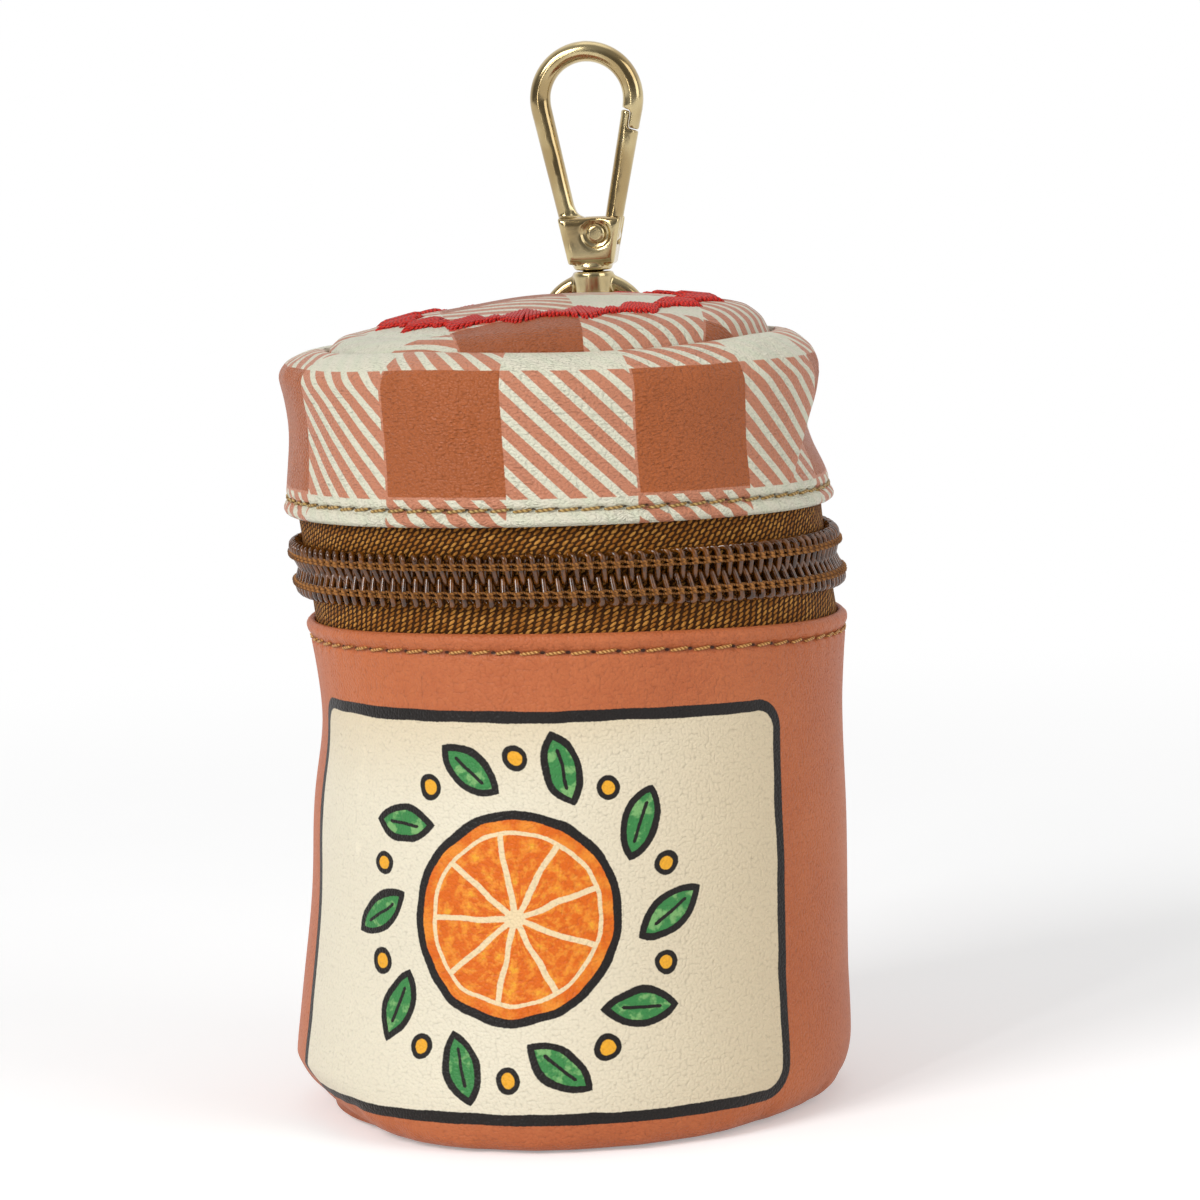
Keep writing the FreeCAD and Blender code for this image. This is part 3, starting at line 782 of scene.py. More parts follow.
@dataclass(frozen=True)
class Nylon(Finish):
    """Dark brown nylon filament, glossy and a little clouded."""

    name: str = "coil_nylon"
    roughness: float = 0.06
    dark: Colour = linear(58, 28, 3)
    light: Colour = linear(122, 70, 16)

    def dress(self, skin: Skin) -> None:
        """Lays out the shader's nodes.

        Args:
            skin: the material's skin.
        """
        flat = skin.flat
        cloud = skin.noise(flat, 0.9, 3.0, 0.6)
        colour = skin.mix(cloud.smooth(0.35, 0.7), self.dark, self.light)
        scuff = skin.noise(flat, 4.0, 3.0, 0.7)
        wear = skin.wear(2500.0, 0.3)
        skin.surface(Base_Color=skin.mix(wear, colour, self.light),
                     Roughness=scuff.smooth(0.3, 0.8) * 0.08 + self.roughness, Normal=skin.bump(scuff, 0.01),
                     Specular_IOR_Level=0.7)


@dataclass(frozen=True)
class Twill(Finish):
    """Woven zip tape: short floats in slanted rows; lean is the rows' direction."""

    name: str
    lean: float = 1.0
    yarn_long: float = 1.08
    yarn_wide: float = 0.52
    tilt: float = 0.30
    slope: float = 0.3
    stagger: float = 0.34
    roughness: float = 0.78
    # gap is the colour of painted shade between the floats.
    gap: Colour = linear(66, 36, 6)
    yarn: Colour = linear(168, 104, 36)
    # glint is a painted highlight on some yarns.
    glint: Colour = linear(220, 156, 74)

    def dress(self, skin: Skin) -> None:
        """Lays out the shader's nodes.

        Args:
            skin: the material's skin.
        """
        flat = skin.flat
        u, v, _ = skin.split(flat)
        skew = v - u * self.slope + (skin.noise(flat, 1.3, 2.0) - 0.5) * 0.26
        row = (skew / self.yarn_wide).math("ROUND")
        run = u + v * self.slope + row * (self.yarn_long * self.stagger * self.lean)
        run = run + (skin.noise(flat, 1.0, 1.0) - 0.5) * 0.2
        yarn_no = (run / self.yarn_long).math("ROUND")
        along = run.fold(self.yarn_long)
        across = skew.fold(self.yarn_wide) - along * self.tilt
        chance = skin.out(skin.node("ShaderNodeTexWhiteNoise", {"Vector": skin.join(yarn_no, row)},
                                    noise_dimensions="2D"), "Value")
        end, side = along / (self.yarn_long * 0.46), across / (self.yarn_wide * 0.38)
        height = (1.0 - end * end - side * side).most(0.0).math("SQRT") * (chance * 0.2 + 0.85)
        # Painted highlight: a random share of the yarns turns towards the glint colour.
        shade = skin.noise(skin.join(u * 1.2, row * 3.7), 1.3, 2.0) * 0.7 + chance * 0.3
        yarn = skin.mix(shade.smooth(0.35, 0.75), self.yarn, self.glint)
        fibres = skin.effect(skin.effects.ply, Flat=flat, Pitch=0.16, Lean=-1.4)["Height"]
        # Painted shade: the gap colour where the floats sink, and darker bands along the fibres' twist.
        colour = skin.tint(skin.mix(height.smooth(0.15, 0.75), self.gap, yarn), fibres * 0.18 + 0.88)
        skin.surface(Base_Color=colour, Roughness=height * -0.15 + self.roughness,
                     Normal=skin.bump(height + fibres * 0.12, 0.2), Specular_IOR_Level=0.18)


@dataclass(frozen=True)
class Thread(Finish):
    """Sewing or embroidery thread of twisted plies."""

    name: str
    colour: Colour
    # light is the painted highlight on the plies' crests.
    light: Colour
    pitch: float = 0.55
    lean: float = 0.8
    deep: float = 0.05
    roughness: float = 0.5

    def dress(self, skin: Skin) -> None:
        """Lays out the shader's nodes.

        Args:
            skin: the material's skin.
        """
        flat = skin.flat
        ply = skin.effect(skin.effects.ply, Flat=flat, Pitch=self.pitch, Lean=self.lean)
        # Painted shade in the plies' grooves and painted highlight on their crests, mixed with a random tone.
        shade = ply["Height"] * 0.55 + ply["Tone"] * 0.45
        colour = skin.mix(shade.smooth(0.15, 0.85), self.colour, self.light)
        skin.surface(Base_Color=colour, Roughness=ply["Tone"] * 0.2 + self.roughness - 0.1,
                     Normal=skin.bump(ply["Height"] + ply["Tone"] * 0.3, self.deep), Specular_IOR_Level=0.28,
                     Sheen_Weight=0.04, Sheen_Roughness=0.35)


@dataclass(frozen=True)
class Plating(Finish):
    """Polished pale gold plating over a slightly uneven casting, with specks and rubbed edges."""

    name: str = "gold_plating"
    roughness: float = 0.13
    gold: Colour = linear(206, 187, 140)
    dull: Colour = linear(172, 148, 102)

    def dress(self, skin: Skin) -> None:
        """Lays out the shader's nodes.

        Args:
            skin: the material's skin.
        """
        place = skin.place()
        haze = skin.noise(place, 240.0, 1.0, 0.4)
        speck = skin.noise(place, 1400.0, 2.0, 0.6)
        wear = skin.wear(1200.0, 0.5)
        colour = skin.mix(haze.smooth(0.35, 0.7), self.dull, self.gold)
        colour = skin.mix(wear, colour, skin.tint(self.gold, 1.12))
        rough = haze.smooth(0.3, 0.8) * 0.07 + speck.smooth(0.5, 0.8) * 0.06 + self.roughness
        skin.surface(Base_Color=colour, Metallic=1.0, Roughness=rough, Normal=skin.bump(haze + speck * 0.02, 0.2),
                     Coat_Weight=0.5, Coat_Roughness=0.05)


# ---------------- shape tools
def follow(place: Array, knots: Knots) -> Array:
    """Smooth curve through knots, level outside them.

    Args:
        place: where the curve is read.
        knots: (place, value) pairs in rising order.

    Returns:
        The curve's values.
    """
    at, value = np.array(knots, float).T
    slope = np.gradient(value, at)
    clipped = np.clip(place, at[0], at[-1])
    i = np.clip(np.searchsorted(at, clipped, side="right") - 1, 0, len(at) - 2)
    span = at[i + 1] - at[i]
    t = (clipped - at[i]) / span
    return ((1 + 2 * t) * (1 - t) ** 2 * value[i] + t * (1 - t) ** 2 * span * slope[i]
            + t * t * (3 - 2 * t) * value[i + 1] + t * t * (t - 1) * span * slope[i + 1])


def outline(corners: Sequence[tuple[float, float, float]], step: float) -> Array:
    """Runs through corners that are each rounded by a radius.

    Args:
        corners: (x, y, radius) of each corner; the ends have radius 0.
        step: the longest distance between points along a run; a round has at least five points.

    Returns:
        The points, one row each.
    """
    points = [np.array(corners[0][:2], float)]
    for before, here, after in zip(corners, corners[1:], corners[2:]):
        p, r = np.array(here[:2], float), here[2]
        a, b = unit(np.array(before[:2], float) - p), unit(np.array(after[:2], float) - p)
        half = math.acos(max(-1.0, min(1.0, float(a @ b)))) / 2
        if r <= 0 or math.pi / 2 - half < 0.01:
            points.append(p)
            continue
        reach = r / math.tan(half)
        centre = p + unit(a + b) * (r / math.sin(half))
        start, end = p + a * reach, p + b * reach
        turn = math.pi - 2 * half
        count = max(5, int(r * turn / step) + 2)
        s, e = start - centre, end - centre
        for t in np.linspace(0, 1, count):
            points.append(centre + (math.sin((1 - t) * turn) * s + math.sin(t * turn) * e) / math.sin(turn))
    points.append(np.array(corners[-1][:2], float))
    dense = [points[0]]
    for p, q in zip(points, points[1:]):
        length = float(np.linalg.norm(q - p))
        if length > 1e-6:
            count = max(1, math.ceil(length / step))
            dense += [p + (q - p) * (k + 1) / count for k in range(count)]
    return np.array(dense)


def polar(radius: Array, azimuth: Array, z: Array) -> Array:
    """Points at radii, azimuths in degrees and heights."""
    angle = np.radians(azimuth)
    return np.stack(np.broadcast_arrays(radius * np.sin(angle), -radius * np.cos(angle), z), axis=-1)


def distances(points: Array) -> Array:
    """Distance of each point of a line from its first, along the line."""
    return np.concatenate([[0.0], np.cumsum(np.linalg.norm(np.diff(points, axis=0), axis=1))])


def bell(place: Array, middle: float, wide: float) -> Array:
    """A soft bump that is 1 at its middle and 0.37 one width away."""
    return np.exp(-((place - middle) / wide) ** 2)


def ease(share: Array) -> Array:
    """Rises smoothly from 0 to 1 as the share does."""
    share = np.clip(share, 0, 1)
    return share * share * (3 - 2 * share)


def unit(vectors: Array) -> Array:
    """Vectors of length 1."""
    return vectors / np.linalg.norm(vectors, axis=-1, keepdims=True)


@dataclass
class Mesh:
    """Points and faces of a piece that is being made, in millimetres, with each corner's flat place."""

    points: list = field(default_factory=list)
    faces: list = field(default_factory=list)
    flats: list = field(default_factory=list)
    count: int = 0

    def grid(self, points: Array, flat: Array, closed: bool = False, flip: bool = False) -> None:
        """Adds a sheet of quads.

        Args:
            points: rows by columns of points.
            flat: the same of flat places, with one more column where the sheet is closed.
            closed: whether the last column joins the first.
            flip: whether the faces turn the other way.
        """
        rows, columns = points.shape[:2]
        r, c = np.meshgrid(np.arange(rows - 1), np.arange(columns if closed else columns - 1), indexing="ij")
        r, c = r.ravel(), c.ravel()
        corners = [(r, c), (r, c + 1), (r + 1, c + 1), (r + 1, c)]
        if flip:
            corners.reverse()
        self.points.append(points.reshape(-1, 3))
        self.faces.append(np.stack([a * columns + b % columns + self.count for a, b in corners], axis=1))
        self.flats.append(np.stack([flat[a, b] for a, b in corners], axis=1).reshape(-1, 2))
        self.count += rows * columns

    def cap(self, ring: Array, flat: Array, flip: bool = False) -> None:
        """Closes a ring of points with triangles to its middle.

        Args:
            ring: the points, which lie on an edge already made.
            flat: their flat places.
            flip: whether the faces turn the other way.
        """
        count = len(ring)
        middle, middle_flat = ring.mean(axis=0), flat.mean(axis=0)
        here, after = np.arange(count), (np.arange(count) + 1) % count
        order = [after, here] if flip else [here, after]
        base = self.count
        self.points += [ring, middle[None]]
        self.faces.append(np.stack([order[0] + base, order[1] + base, np.full(count, base + count)], axis=1))
        self.flats.append(np.stack([flat[order[0]], flat[order[1]], np.tile(middle_flat, (count, 1))],
                                   axis=1).reshape(-1, 2))
        self.count += count + 1

    def rod(self, rings: Array, flat: Array, flip: bool = False) -> None:
        """Adds a closed form of rings, capped at both ends.

        Args:
            rings: points, one ring a row.
            flat: their flat places, with one more column.
            flip: whether the faces turn the other way.
        """
        self.grid(rings, flat, closed=True, flip=flip)
        self.cap(rings[0], flat[0, :-1], flip=not flip)
        self.cap(rings[-1], flat[-1, :-1], flip=flip)

    def data(self, name: str) -> bpy.types.Mesh:
        """Makes Blender's mesh, in metres.

        Args:
            name: the mesh's name.

        Returns:
            The mesh, with its flat places as a layer.
        """
        mesh = bpy.data.meshes.new(name)
        points = np.concatenate(self.points) * MM
        mesh.from_pydata(points.tolist(), [], [f for block in self.faces for f in block.tolist()])
        layer = mesh.uv_layers.new(name=FLAT)
        layer.data.foreach_set("uv", np.concatenate(self.flats).astype(np.float32).ravel())
        return mesh

    def finish(self, name: str, material: Material, slot: Slot, body: str = "pouch") -> Piece:
        """Makes the object, welds shared edges, lets it ride on its body and reports it.

        Args:
            name: the piece's name.
            material: its finish.
            slot: the record's slot that the finish belongs to; not used.
            body: the CAD body it rides on.

        Returns:
            The object.
        """
        mesh = self.data(name)
        mesh.polygons.foreach_set("use_smooth", [True] * len(mesh.polygons))
        mesh.materials.append(material)
        made = bpy.data.objects.new(name, mesh)
        bpy.context.scene.collection.objects.link(made)
        made.modifiers.new("weld", "WELD").merge_threshold = WELD * MM
        bake_modifiers(made)
        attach(made, body)
        log.info("%s: %d faces", name, len(made.data.polygons))
        return made


def bake_modifiers(made: Piece) -> None:
    """Applies an object's modifiers to its mesh.

    Args:
        made: the object.
    """
    graph = bpy.context.evaluated_depsgraph_get()
    mesh = bpy.data.meshes.new_from_object(made.evaluated_get(graph))
    made.modifiers.clear()
    made.data = mesh


def tube(path: Array, radius: Array, sides: int, reference: Sequence[float]) -> Array:
    """Rings of points round a path.

    Args:
        path: the centre line's points.
        radius: the radius at each, or one for all.
        sides: points in a ring.
        reference: a direction that the path never follows.

    Returns:
        Points, one ring a row.
    """
    along = unit(np.gradient(path, axis=0))
    side = unit(np.cross(along, np.array(reference, float)))
    other = np.cross(side, along)
    turn = np.arange(sides)[:, None] * (2 * math.pi / sides)
    reach = np.broadcast_to(radius, len(path))[:, None, None]
    return path[:, None] + reach * (side[:, None] * np.cos(turn) + other[:, None] * np.sin(turn))


def tube_flat(path: Array, radius: float, sides: int) -> Array:
    """Flat places of a tube: distance along it and round it, with a column more than it has sides."""
    around = np.arange(sides + 1) * (2 * math.pi * radius / sides)
    return np.stack(np.meshgrid(distances(path), around, indexing="ij"), axis=-1)


# ---------------- slack
@dataclass(frozen=True)
class Dent:
    """A soft hollow: where it is, how deep, wide and tall, and the slanted crease that it starts at."""

    azimuth: float
    z: float
    deep: float
    wide: float
    tall: float
    crease: tuple = ()             # azimuth and height of a point on the crease, and its azimuth per millimetre up

    def depth(self, azimuth: Array, z: Array) -> Array:
        """Says how far the leather is pushed in.

        Args:
            azimuth, z: where.

        Returns:
            The depth.
        """
        inward = self.deep * bell(azimuth, self.azimuth, self.wide) * bell(z, self.z, self.tall)
        if self.crease:
            at, height, lean = self.crease
            inward = inward * ease((azimuth - at - lean * (z - height)) * 0.53 / 1.1 + 0.4)
        return inward


@dataclass(frozen=True)
class Slack:
    """How the pouch has settled: its lean, its lid's tilt and its dents. The back stays true for the clasp.

    It leans and tilts across the azimuth face, from which its dents' azimuths are counted too.
    """

    face: float = 9.4
    lean: Knots = ((0.0, -0.2), (6.0, -0.2), (12.0, 0.2), (28.0, 1.1), (45.0, 1.6), (55.5, 1.8), (61.5, 1.1),
                   (67.0, 0.55), (71.0, 0.5), (77.0, 0.3), (92.0, 0.2))
    tilt: Knots = ((0.0, 0.0), (40.0, 0.3), (55.5, 1.2), (61.5, 0.7), (68.0, 0.5), (76.0, 1.1), (84.0, 1.6),
                   (92.0, 1.6))
    drop: Knots = ((30.0, 0.0), (55.5, -0.5), (61.5, -0.37), (68.0, -0.33), (80.0, 0.0))
    bow: Knots = ((30.0, 0.0), (47.0, 0.45), (55.5, 1.0), (61.5, 0.6), (68.0, 0.33), (80.0, 0.0))
    bow_half: float = 30.5
    soft_r: float = 28.0
    right_lift: float = 1.5
    left_drop: float = 0.8
    true_from: float = 4.0
    true_past: float = 20.0
    dents: tuple[Dent, ...] = (
        Dent(-80.0, 44.5, 1.0, 30.0, 6.5),
        Dent(86.0, 77.0, 2.7, 30.0, 4.8, (59.5, 72.5, 1.6)),
        Dent(-80.0, 77.5, 0.8, 22.0, 5.0),
        Dent(30.0, 40.0, 0.25, 16.0, 12.0),
        Dent(-32.0, 15.0, 0.2, 12.0, 9.0),
        Dent(-82.0, 25.0, 0.45, 28.0, 9.0),
    )

    def shoulders(self, across: Array, z: Array) -> Array:
        """Says how far the lid's shoulders lie too high at the right and too low at the left.

        Args:
            across, z: where, counted across the face.

        Returns:
            The upward shift.
        """
        lifted = np.clip((z - 83.5) / 3.0, 0, 1) * np.clip(across / 22.0, 0, 1) ** 2
        sunk = np.clip((z - 80.0) / 5.0, 0, 1) * np.clip((-across - 14.0) / 10.0, 0, 1)
        return lifted * self.right_lift - sunk * self.left_drop

    def settle(self, points: Array) -> Array:
        """Moves true points to where they lie on the used pouch.

        Args:
            points: true points in millimetres.

        Returns:
            The settled points.
        """
        x, y, z = points[..., 0], points[..., 1], points[..., 2]
        face_c, face_s = math.cos(math.radians(self.face)), math.sin(math.radians(self.face))
        radius = np.hypot(x, y)
        azimuth = (np.degrees(np.arctan2(x, -y)) - self.face + 180.0) % 360.0 - 180.0
        front = 1 - ease((y - self.true_from) / (self.true_past - self.true_from))
        soft = np.clip(radius / self.soft_r, 0, 1) ** 4 * front
        angle = np.radians(azimuth)
        swell = 0.10 * np.sin(3 * angle + 0.7 + z * 0.05) + 0.06 * np.sin(7 * angle - z * 0.11 + 1.9)
        inward = sum(dent.depth(azimuth, z) for dent in self.dents)
        moved = np.maximum(radius + (swell - inward) * soft, 0)
        scale = np.divide(moved, radius, out=np.ones_like(radius), where=radius > 1e-6)
        across = x * face_c + y * face_s
        lean = follow(z, self.lean) * front
        raised = follow(z, self.drop) + follow(z, self.bow) * np.clip(1 - (across / self.bow_half) ** 2, 0, 1)
        raised = raised + self.shoulders(across, z) - across * np.tan(np.radians(follow(z, self.tilt)))
        return np.stack([x * scale + lean * face_c, y * scale + lean * face_s, z + raised * front], axis=-1)


Relief = Callable[[Array, Array], tuple[Array, Array]]


def lathe(mesh: Mesh, profile: Array, slack: Optional[Slack], segments: int, flat_r: float, flat_z: float,
          relief: Optional[Relief] = None, flat_shift: tuple[float, float] = (0.0, 0.0)) -> None:
    """Adds a turned sheet.

    Args:
        mesh: the mesh.
        profile: (radius, z) points from the inside below, round the outside, to the inside above.
        slack: how it settles.
        segments: columns.
        flat_r: the radius that the flat piece is unrolled at.
        flat_z: a height at which the flat place has that same height.
        relief: function of (azimuths, heights) that gives outward and upward shifts.
        flat_shift: added to the flat places.
    """
    azimuth = np.linspace(-180.0, 180.0, segments + 1)
    steps = distances(profile)
    outer = int(np.argmin(np.abs(profile[:, 1] - flat_z) - profile[:, 0]))
    height = (steps - steps[outer] + profile[outer, 1])[:, None] + np.zeros(segments + 1)
    az, r, z = np.broadcast_arrays(azimuth[:-1], profile[:, :1], profile[:, 1:])
    if relief is not None:
        outward, upward = relief(az, z)
        r, z = r + outward, z + upward
        below = np.hypot(np.diff(r, axis=0), np.diff(z, axis=0))[:outer][::-1]
        lower = profile[outer, 1] - np.concatenate([np.zeros((1, segments)), np.cumsum(below, axis=0)])[::-1]
        height[:outer + 1] = np.concatenate([lower, lower[:, :1]], axis=1)
    points = polar(np.maximum(r, 0), az, z)
    if slack is not None:
        points = slack.settle(points)
    flat = np.stack(np.broadcast_arrays(np.radians(azimuth) * flat_r, height), axis=-1)
    mesh.grid(points, flat + np.array(flat_shift), closed=True)


# ---------------- sewing
@dataclass(frozen=True)
class Seam:
    """A level row of stitches round the pouch, and how the leather gives way along it."""

    radius: float
    z: float
    count: int
    groove: float
    groove_wide: float
    hole: float
    pucker: float
    pucker_wide: float
    hole_wide: float = 0.35

    def sink(self, azimuth: Array, z: Array) -> Array:
        """Says how far the leather sinks in its groove, its needle holes and its puckers.

        Args:
            azimuth, z: where.

        Returns:
            The inward shift.
        """
        phase = (azimuth + 180.0) * self.count / 360.0
        near = np.abs(phase - np.round(phase)) * 2 * math.pi * self.radius / self.count
        groove = self.groove * bell(z, self.z, self.groove_wide)
        hole = self.hole * bell(near, 0.0, self.hole_wide) * bell(z, self.z, self.hole_wide)
        pucker = self.pucker * np.cos(2 * math.pi * phase) * np.exp(-np.abs(z - self.z) / self.pucker_wide)
        return groove + hole + pucker


@dataclass(frozen=True)
class Stitch:
    """One lock stitch: a short thread that dives into the leather at both ends."""

    long: float = 2.3
    thread_r: float = 0.27
    lean: float = 0.10
    loose: float = 0.06
    sides: int = 9

    def rings(self, rng: Random) -> tuple[Array, Array]:
        """Makes one stitch about its own middle.

        Args:
            rng: seeded chance.

        Returns:
            Rings of points (along, across, outward) and their flat places.
        """
        t = np.linspace(0, 1, 13)
        rise = np.minimum(1.0, np.sin(math.pi * t) * 2.0)
        along = (t - 0.5) * self.long * rng.uniform(0.94, 1.04)
        across = (t - 0.5) * 2 * self.lean + rng.uniform(-1, 1) * self.loose
        out = (rise * 1.5 - 0.95) * self.thread_r * rng.uniform(0.9, 1.08)
        path = np.stack([along, across, out], axis=-1)
        points = tube(path, self.thread_r * (0.7 + 0.3 * rise), self.sides, (0, 0, 1))
        return points, tube_flat(path, self.thread_r, self.sides) + rng.uniform(0, 9)


@dataclass
class Sewing:
    """A piece made of many stitches."""

    stitch: Stitch
    slack: Slack
    seed: int
    mesh: Mesh = field(default_factory=Mesh)

    def __post_init__(self) -> None:
        """Seeds the sewing's own chance."""
        self.rng = Random(self.seed)

    def add(self, centre: Array, along: Array, outward: Array) -> None:
        """Sews one stitch.

        Args:
            centre: its middle, on the leather.
            along: its direction.
            outward: the leather's direction outward.
        """
        rings, flat = self.stitch.rings(self.rng)
        points = centre + rings @ np.stack([along, np.cross(outward, along), outward])
        self.mesh.rod(self.slack.settle(points), flat)

    def ring(self, radius: float, z: float, count: int) -> None:
        """Sews all round the pouch.

        Args:
            radius: the row's radius.
            z: its height.
            count: stitches in it.
        """
        for azimuth in (np.arange(count) + 0.5) * 360.0 / count - 180.0:
            outward = polar(1.0, azimuth, 0.0)
            self.add(polar(radius, azimuth, z), np.array([-outward[1], outward[0], 0.0]), outward)

    def row(self, start: Array, end: Array, pitch: float, outward: Optional[Array] = None) -> None:
        """Sews a straight row between two points.

        Args:
            start: where the first stitch starts.
            end: where the last one ends.
            pitch: about how long a stitch and its gap are.
            outward: the leather's direction outward; where it isn't given, straight out from the axis.
        """
        length = float(np.linalg.norm(end - start))
        count = max(1, round(length / pitch))
        along = (end - start) / length
        for k in range(count):
            centre = start + (end - start) * ((k + 0.5) / count)
            out = centre * (1.0, 1.0, 0.0) if outward is None else outward
            self.add(centre, along, unit(out - along * float(out @ along)))


def slab(mesh: Mesh, points_at: Callable[[Array, Array, Array], Array], across: Array,
         along: Array, soft: tuple[float, float], flat: Array) -> None:
    """Adds a flat piece with rounded edges: an outer and an inner sheet that meet all round.

    Args:
        mesh: the mesh.
        points_at: function of (across, along, height share) that gives points.
        across: places across, from -1 to 1.
        along: places along, from -1 to 1.
        soft: shares of the half width and half length in which the edges round off.
        flat: flat places of the grid.
    """
    b, a = np.meshgrid(along, across, indexing="ij")

    def edge(place: Array, share: float) -> Array:
        """Rises from 0 at the border to 1 inside it, as a quarter round."""
        near = np.clip((1 - np.abs(place)) / share, 0, 1)
        return np.sqrt(np.clip(1 - (1 - near) ** 2, 0, 1))

    high = np.minimum(edge(a, soft[0]), edge(b, soft[1]))
    mesh.grid(points_at(a, b, high), flat)
    mesh.grid(points_at(a, b, np.zeros_like(high)), flat, flip=True)


def eased(count: int, ends: float = 0.08) -> Array:
    """Lays places from -1 to 1 that crowd together at both ends.

    Args:
        count: places between the crowded ends.
        ends: share of the half width that each crowd takes up.

    Returns:
        The places.
    """
    edge = 1 - np.array([0.0, 0.04, 0.15, 0.35, 0.62, 1.0]) * ends
    return np.concatenate([-edge[:-1], np.linspace(-edge[-1], edge[-1], count), edge[:-1][::-1]])


# ---------------- body
@dataclass
class Cup:
    """The body: base panel, wall with its rolled heel and turned rim, and the rim's stitches."""

    slack: Slack
    foot_r: float
    base_r: float
    base_t: float
    rim_r: float = 30.25
    rim_z: float = 55.5
    heel_r: float = 6.5
    tape_r: float = 29.3
    core_r: float = 28.4
    tuck: float = 2.2
    neck_z: float = 61.5
    stitches: int = 69
    stitch_down: float = 1.95
    front_swell: float = 0.9
    side: Knots = ((6.5, 31.35), (13.9, 30.95), (30.0, 30.3), (46.1, 29.78), (52.6, 30.05), (54.6, 30.25))
    creases: tuple = ((-27.0, 2.4, 0.16), (-17.5, 1.8, 0.12), (-4.0, 2.2, 0.08), (8.0, 2.0, 0.14), (31.0, 2.6, 0.10),
                      (-48.0, 3.0, 0.12), (52.0, 2.2, 0.12), (-70.0, 2.6, 0.10), (110.0, 3.0, 0.12))

    def profile(self) -> Array:
        """Draws the wall's section.

        Returns:
            Its (radius, z) points, from the middle of the underside, round the outside, to the middle of the neck.
        """
        inner, reach = self.foot_r - self.heel_r, self.side[0][1] - self.foot_r + self.heel_r
        turn = np.radians(np.linspace(-90, 0, 28))
        heel = np.stack([inner + reach * np.cos(turn), self.heel_r + self.heel_r * np.sin(turn)], axis=-1)
        rise = np.concatenate([np.arange(self.heel_r + 0.7, 48.0, 0.8), np.arange(48.4, self.rim_z - 1.0, 0.2)])
        wall = np.stack([follow(rise, self.side), rise], axis=-1)
        lip = outline([(self.rim_r, self.rim_z - 0.95, 0), (self.rim_r, self.rim_z, 0.46),
                       (self.tape_r, self.rim_z, 0.46), (self.tape_r, self.rim_z - self.tuck, 0)], 0.16)
        neck = [(self.core_r, self.rim_z - self.tuck), (self.core_r, self.neck_z), (0, self.neck_z)]
        under = [(0, self.base_t), (inner, self.base_t), (inner, 0.3)]
        return np.concatenate([under, heel, wall, lip, neck])

    def seam(self) -> Seam:
        """The rim's row of stitches."""
        return Seam(self.rim_r, self.rim_z - self.stitch_down, self.stitches, groove=0.26, groove_wide=0.42,
                    hole=0.30, pucker=0.07, pucker_wide=1.5)

    def heel_relief(self, azimuth: Array, z: Array) -> tuple[Array, Array]:
        """Shapes the heel: scalloped, fuller in front and at the flanks, rounder at the left.

        Args:
            azimuth, z: where.

        Returns:
            Outward and upward shifts.
        """
        angle, turn = np.radians(azimuth), azimuth - self.slack.face
        ahead, left, right = bell(turn, -6.0, 44.0), bell(turn, -74.0, 26.0), bell(turn, 68.0, 26.0)
        flank = bell(np.abs(turn + 3.0), 30.0, 14.0)
        scallop = 0.16 * np.sin(19 * angle + 0.6) + 0.10 * np.sin(31 * angle + 2.1) + 0.07 * np.sin(53 * angle)
        shift = (scallop * bell(z, 2.2, 1.6) + self.front_swell * ahead * bell(z, 4.0, 9.0)
                 + 0.9 * flank * bell(z, 0.0, 4.0) + 0.35 * right * bell(z, 8.0, 4.0))
        sine = np.clip((self.heel_r - z) / self.heel_r, 0, 1)
        cosine = np.sqrt(1 - sine * sine)
        power = 1 - 0.66 * ahead + 0.6 * left - 0.2 * right
        outward = np.where(sine > 0, self.heel_r * (cosine ** power - cosine), 0.0)
        return shift + outward, np.where(sine > 0, self.heel_r * (sine - sine ** power), 0.0)

    def relief(self, azimuth: Array, z: Array) -> tuple[Array, Array]:
        """Shapes the wall: the heel, the stitched groove, the rim's roll, the back seam and soft creases.

        Args:
            azimuth, z: where.

        Returns:
            Outward and upward shifts.
        """
        back = np.radians(180.0 - np.abs(azimuth)) * self.rim_r
        outward, upward = self.heel_relief(azimuth, z)
        outward = outward + 0.16 * bell(z, self.rim_z - 0.75, 0.5) - self.seam().sink(azimuth, z)
        outward = outward + 0.12 * bell(back, 0.0, 1.6) - 0.42 * bell(back, 0.0, 0.4)
        for at, wide, deep in self.creases:
            away = azimuth - at - (z - 49.0) * 0.12 * math.sin(at)
            fold = bell(away, 0.0, wide) - 0.45 * bell(away, 0.0, 2.1 * wide)
            outward = outward - deep * fold * bell(z, 48.8, 4.2)
        outside = (z > self.heel_r * 0.1) & (z < self.rim_z - 0.2)
        return np.where(outside, outward, 0.0), np.where(outside, upward, 0.0)

    def needle_row(self) -> NeedleRow:
        """Where the rim's stitches pierce the wall."""
        pitch = 2 * math.pi * self.rim_r / self.stitches
        return NeedleRow(self.rim_z - self.stitch_down, pitch, pitch / 2)

    def build_wall(self, material: Material) -> None:
        """Makes the wall of printed leather.

        Args:
            material: that leather.
        """
        mesh = Mesh()
        lathe(mesh, self.profile(), self.slack, self.stitches * 8, self.rim_r, 30.0, self.relief)
        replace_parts(mesh.finish("leather_wall", material, Slot.TERRACOTTA), "body_wall")

    def build_base(self, material: Material) -> None:
        """Makes the flat panel that the pouch stands on.

        Args:
            material: plain leather.
        """
        mesh = Mesh()
        under = outline([(self.base_r / 2, 0, 0), (self.base_r, 0, 0.4), (self.base_r, self.base_t, 0)], 0.5)
        lathe(mesh, np.concatenate([[(0, 0)], under, [(0, self.base_t)]]), None, 120, self.base_r, 0.0)
        corners = np.concatenate(mesh.faces).ravel()
        mesh.flats = [np.concatenate(mesh.points)[corners][:, :2]]
        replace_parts(mesh.finish("leather_base", material, Slot.TERRACOTTA), "base_panel")

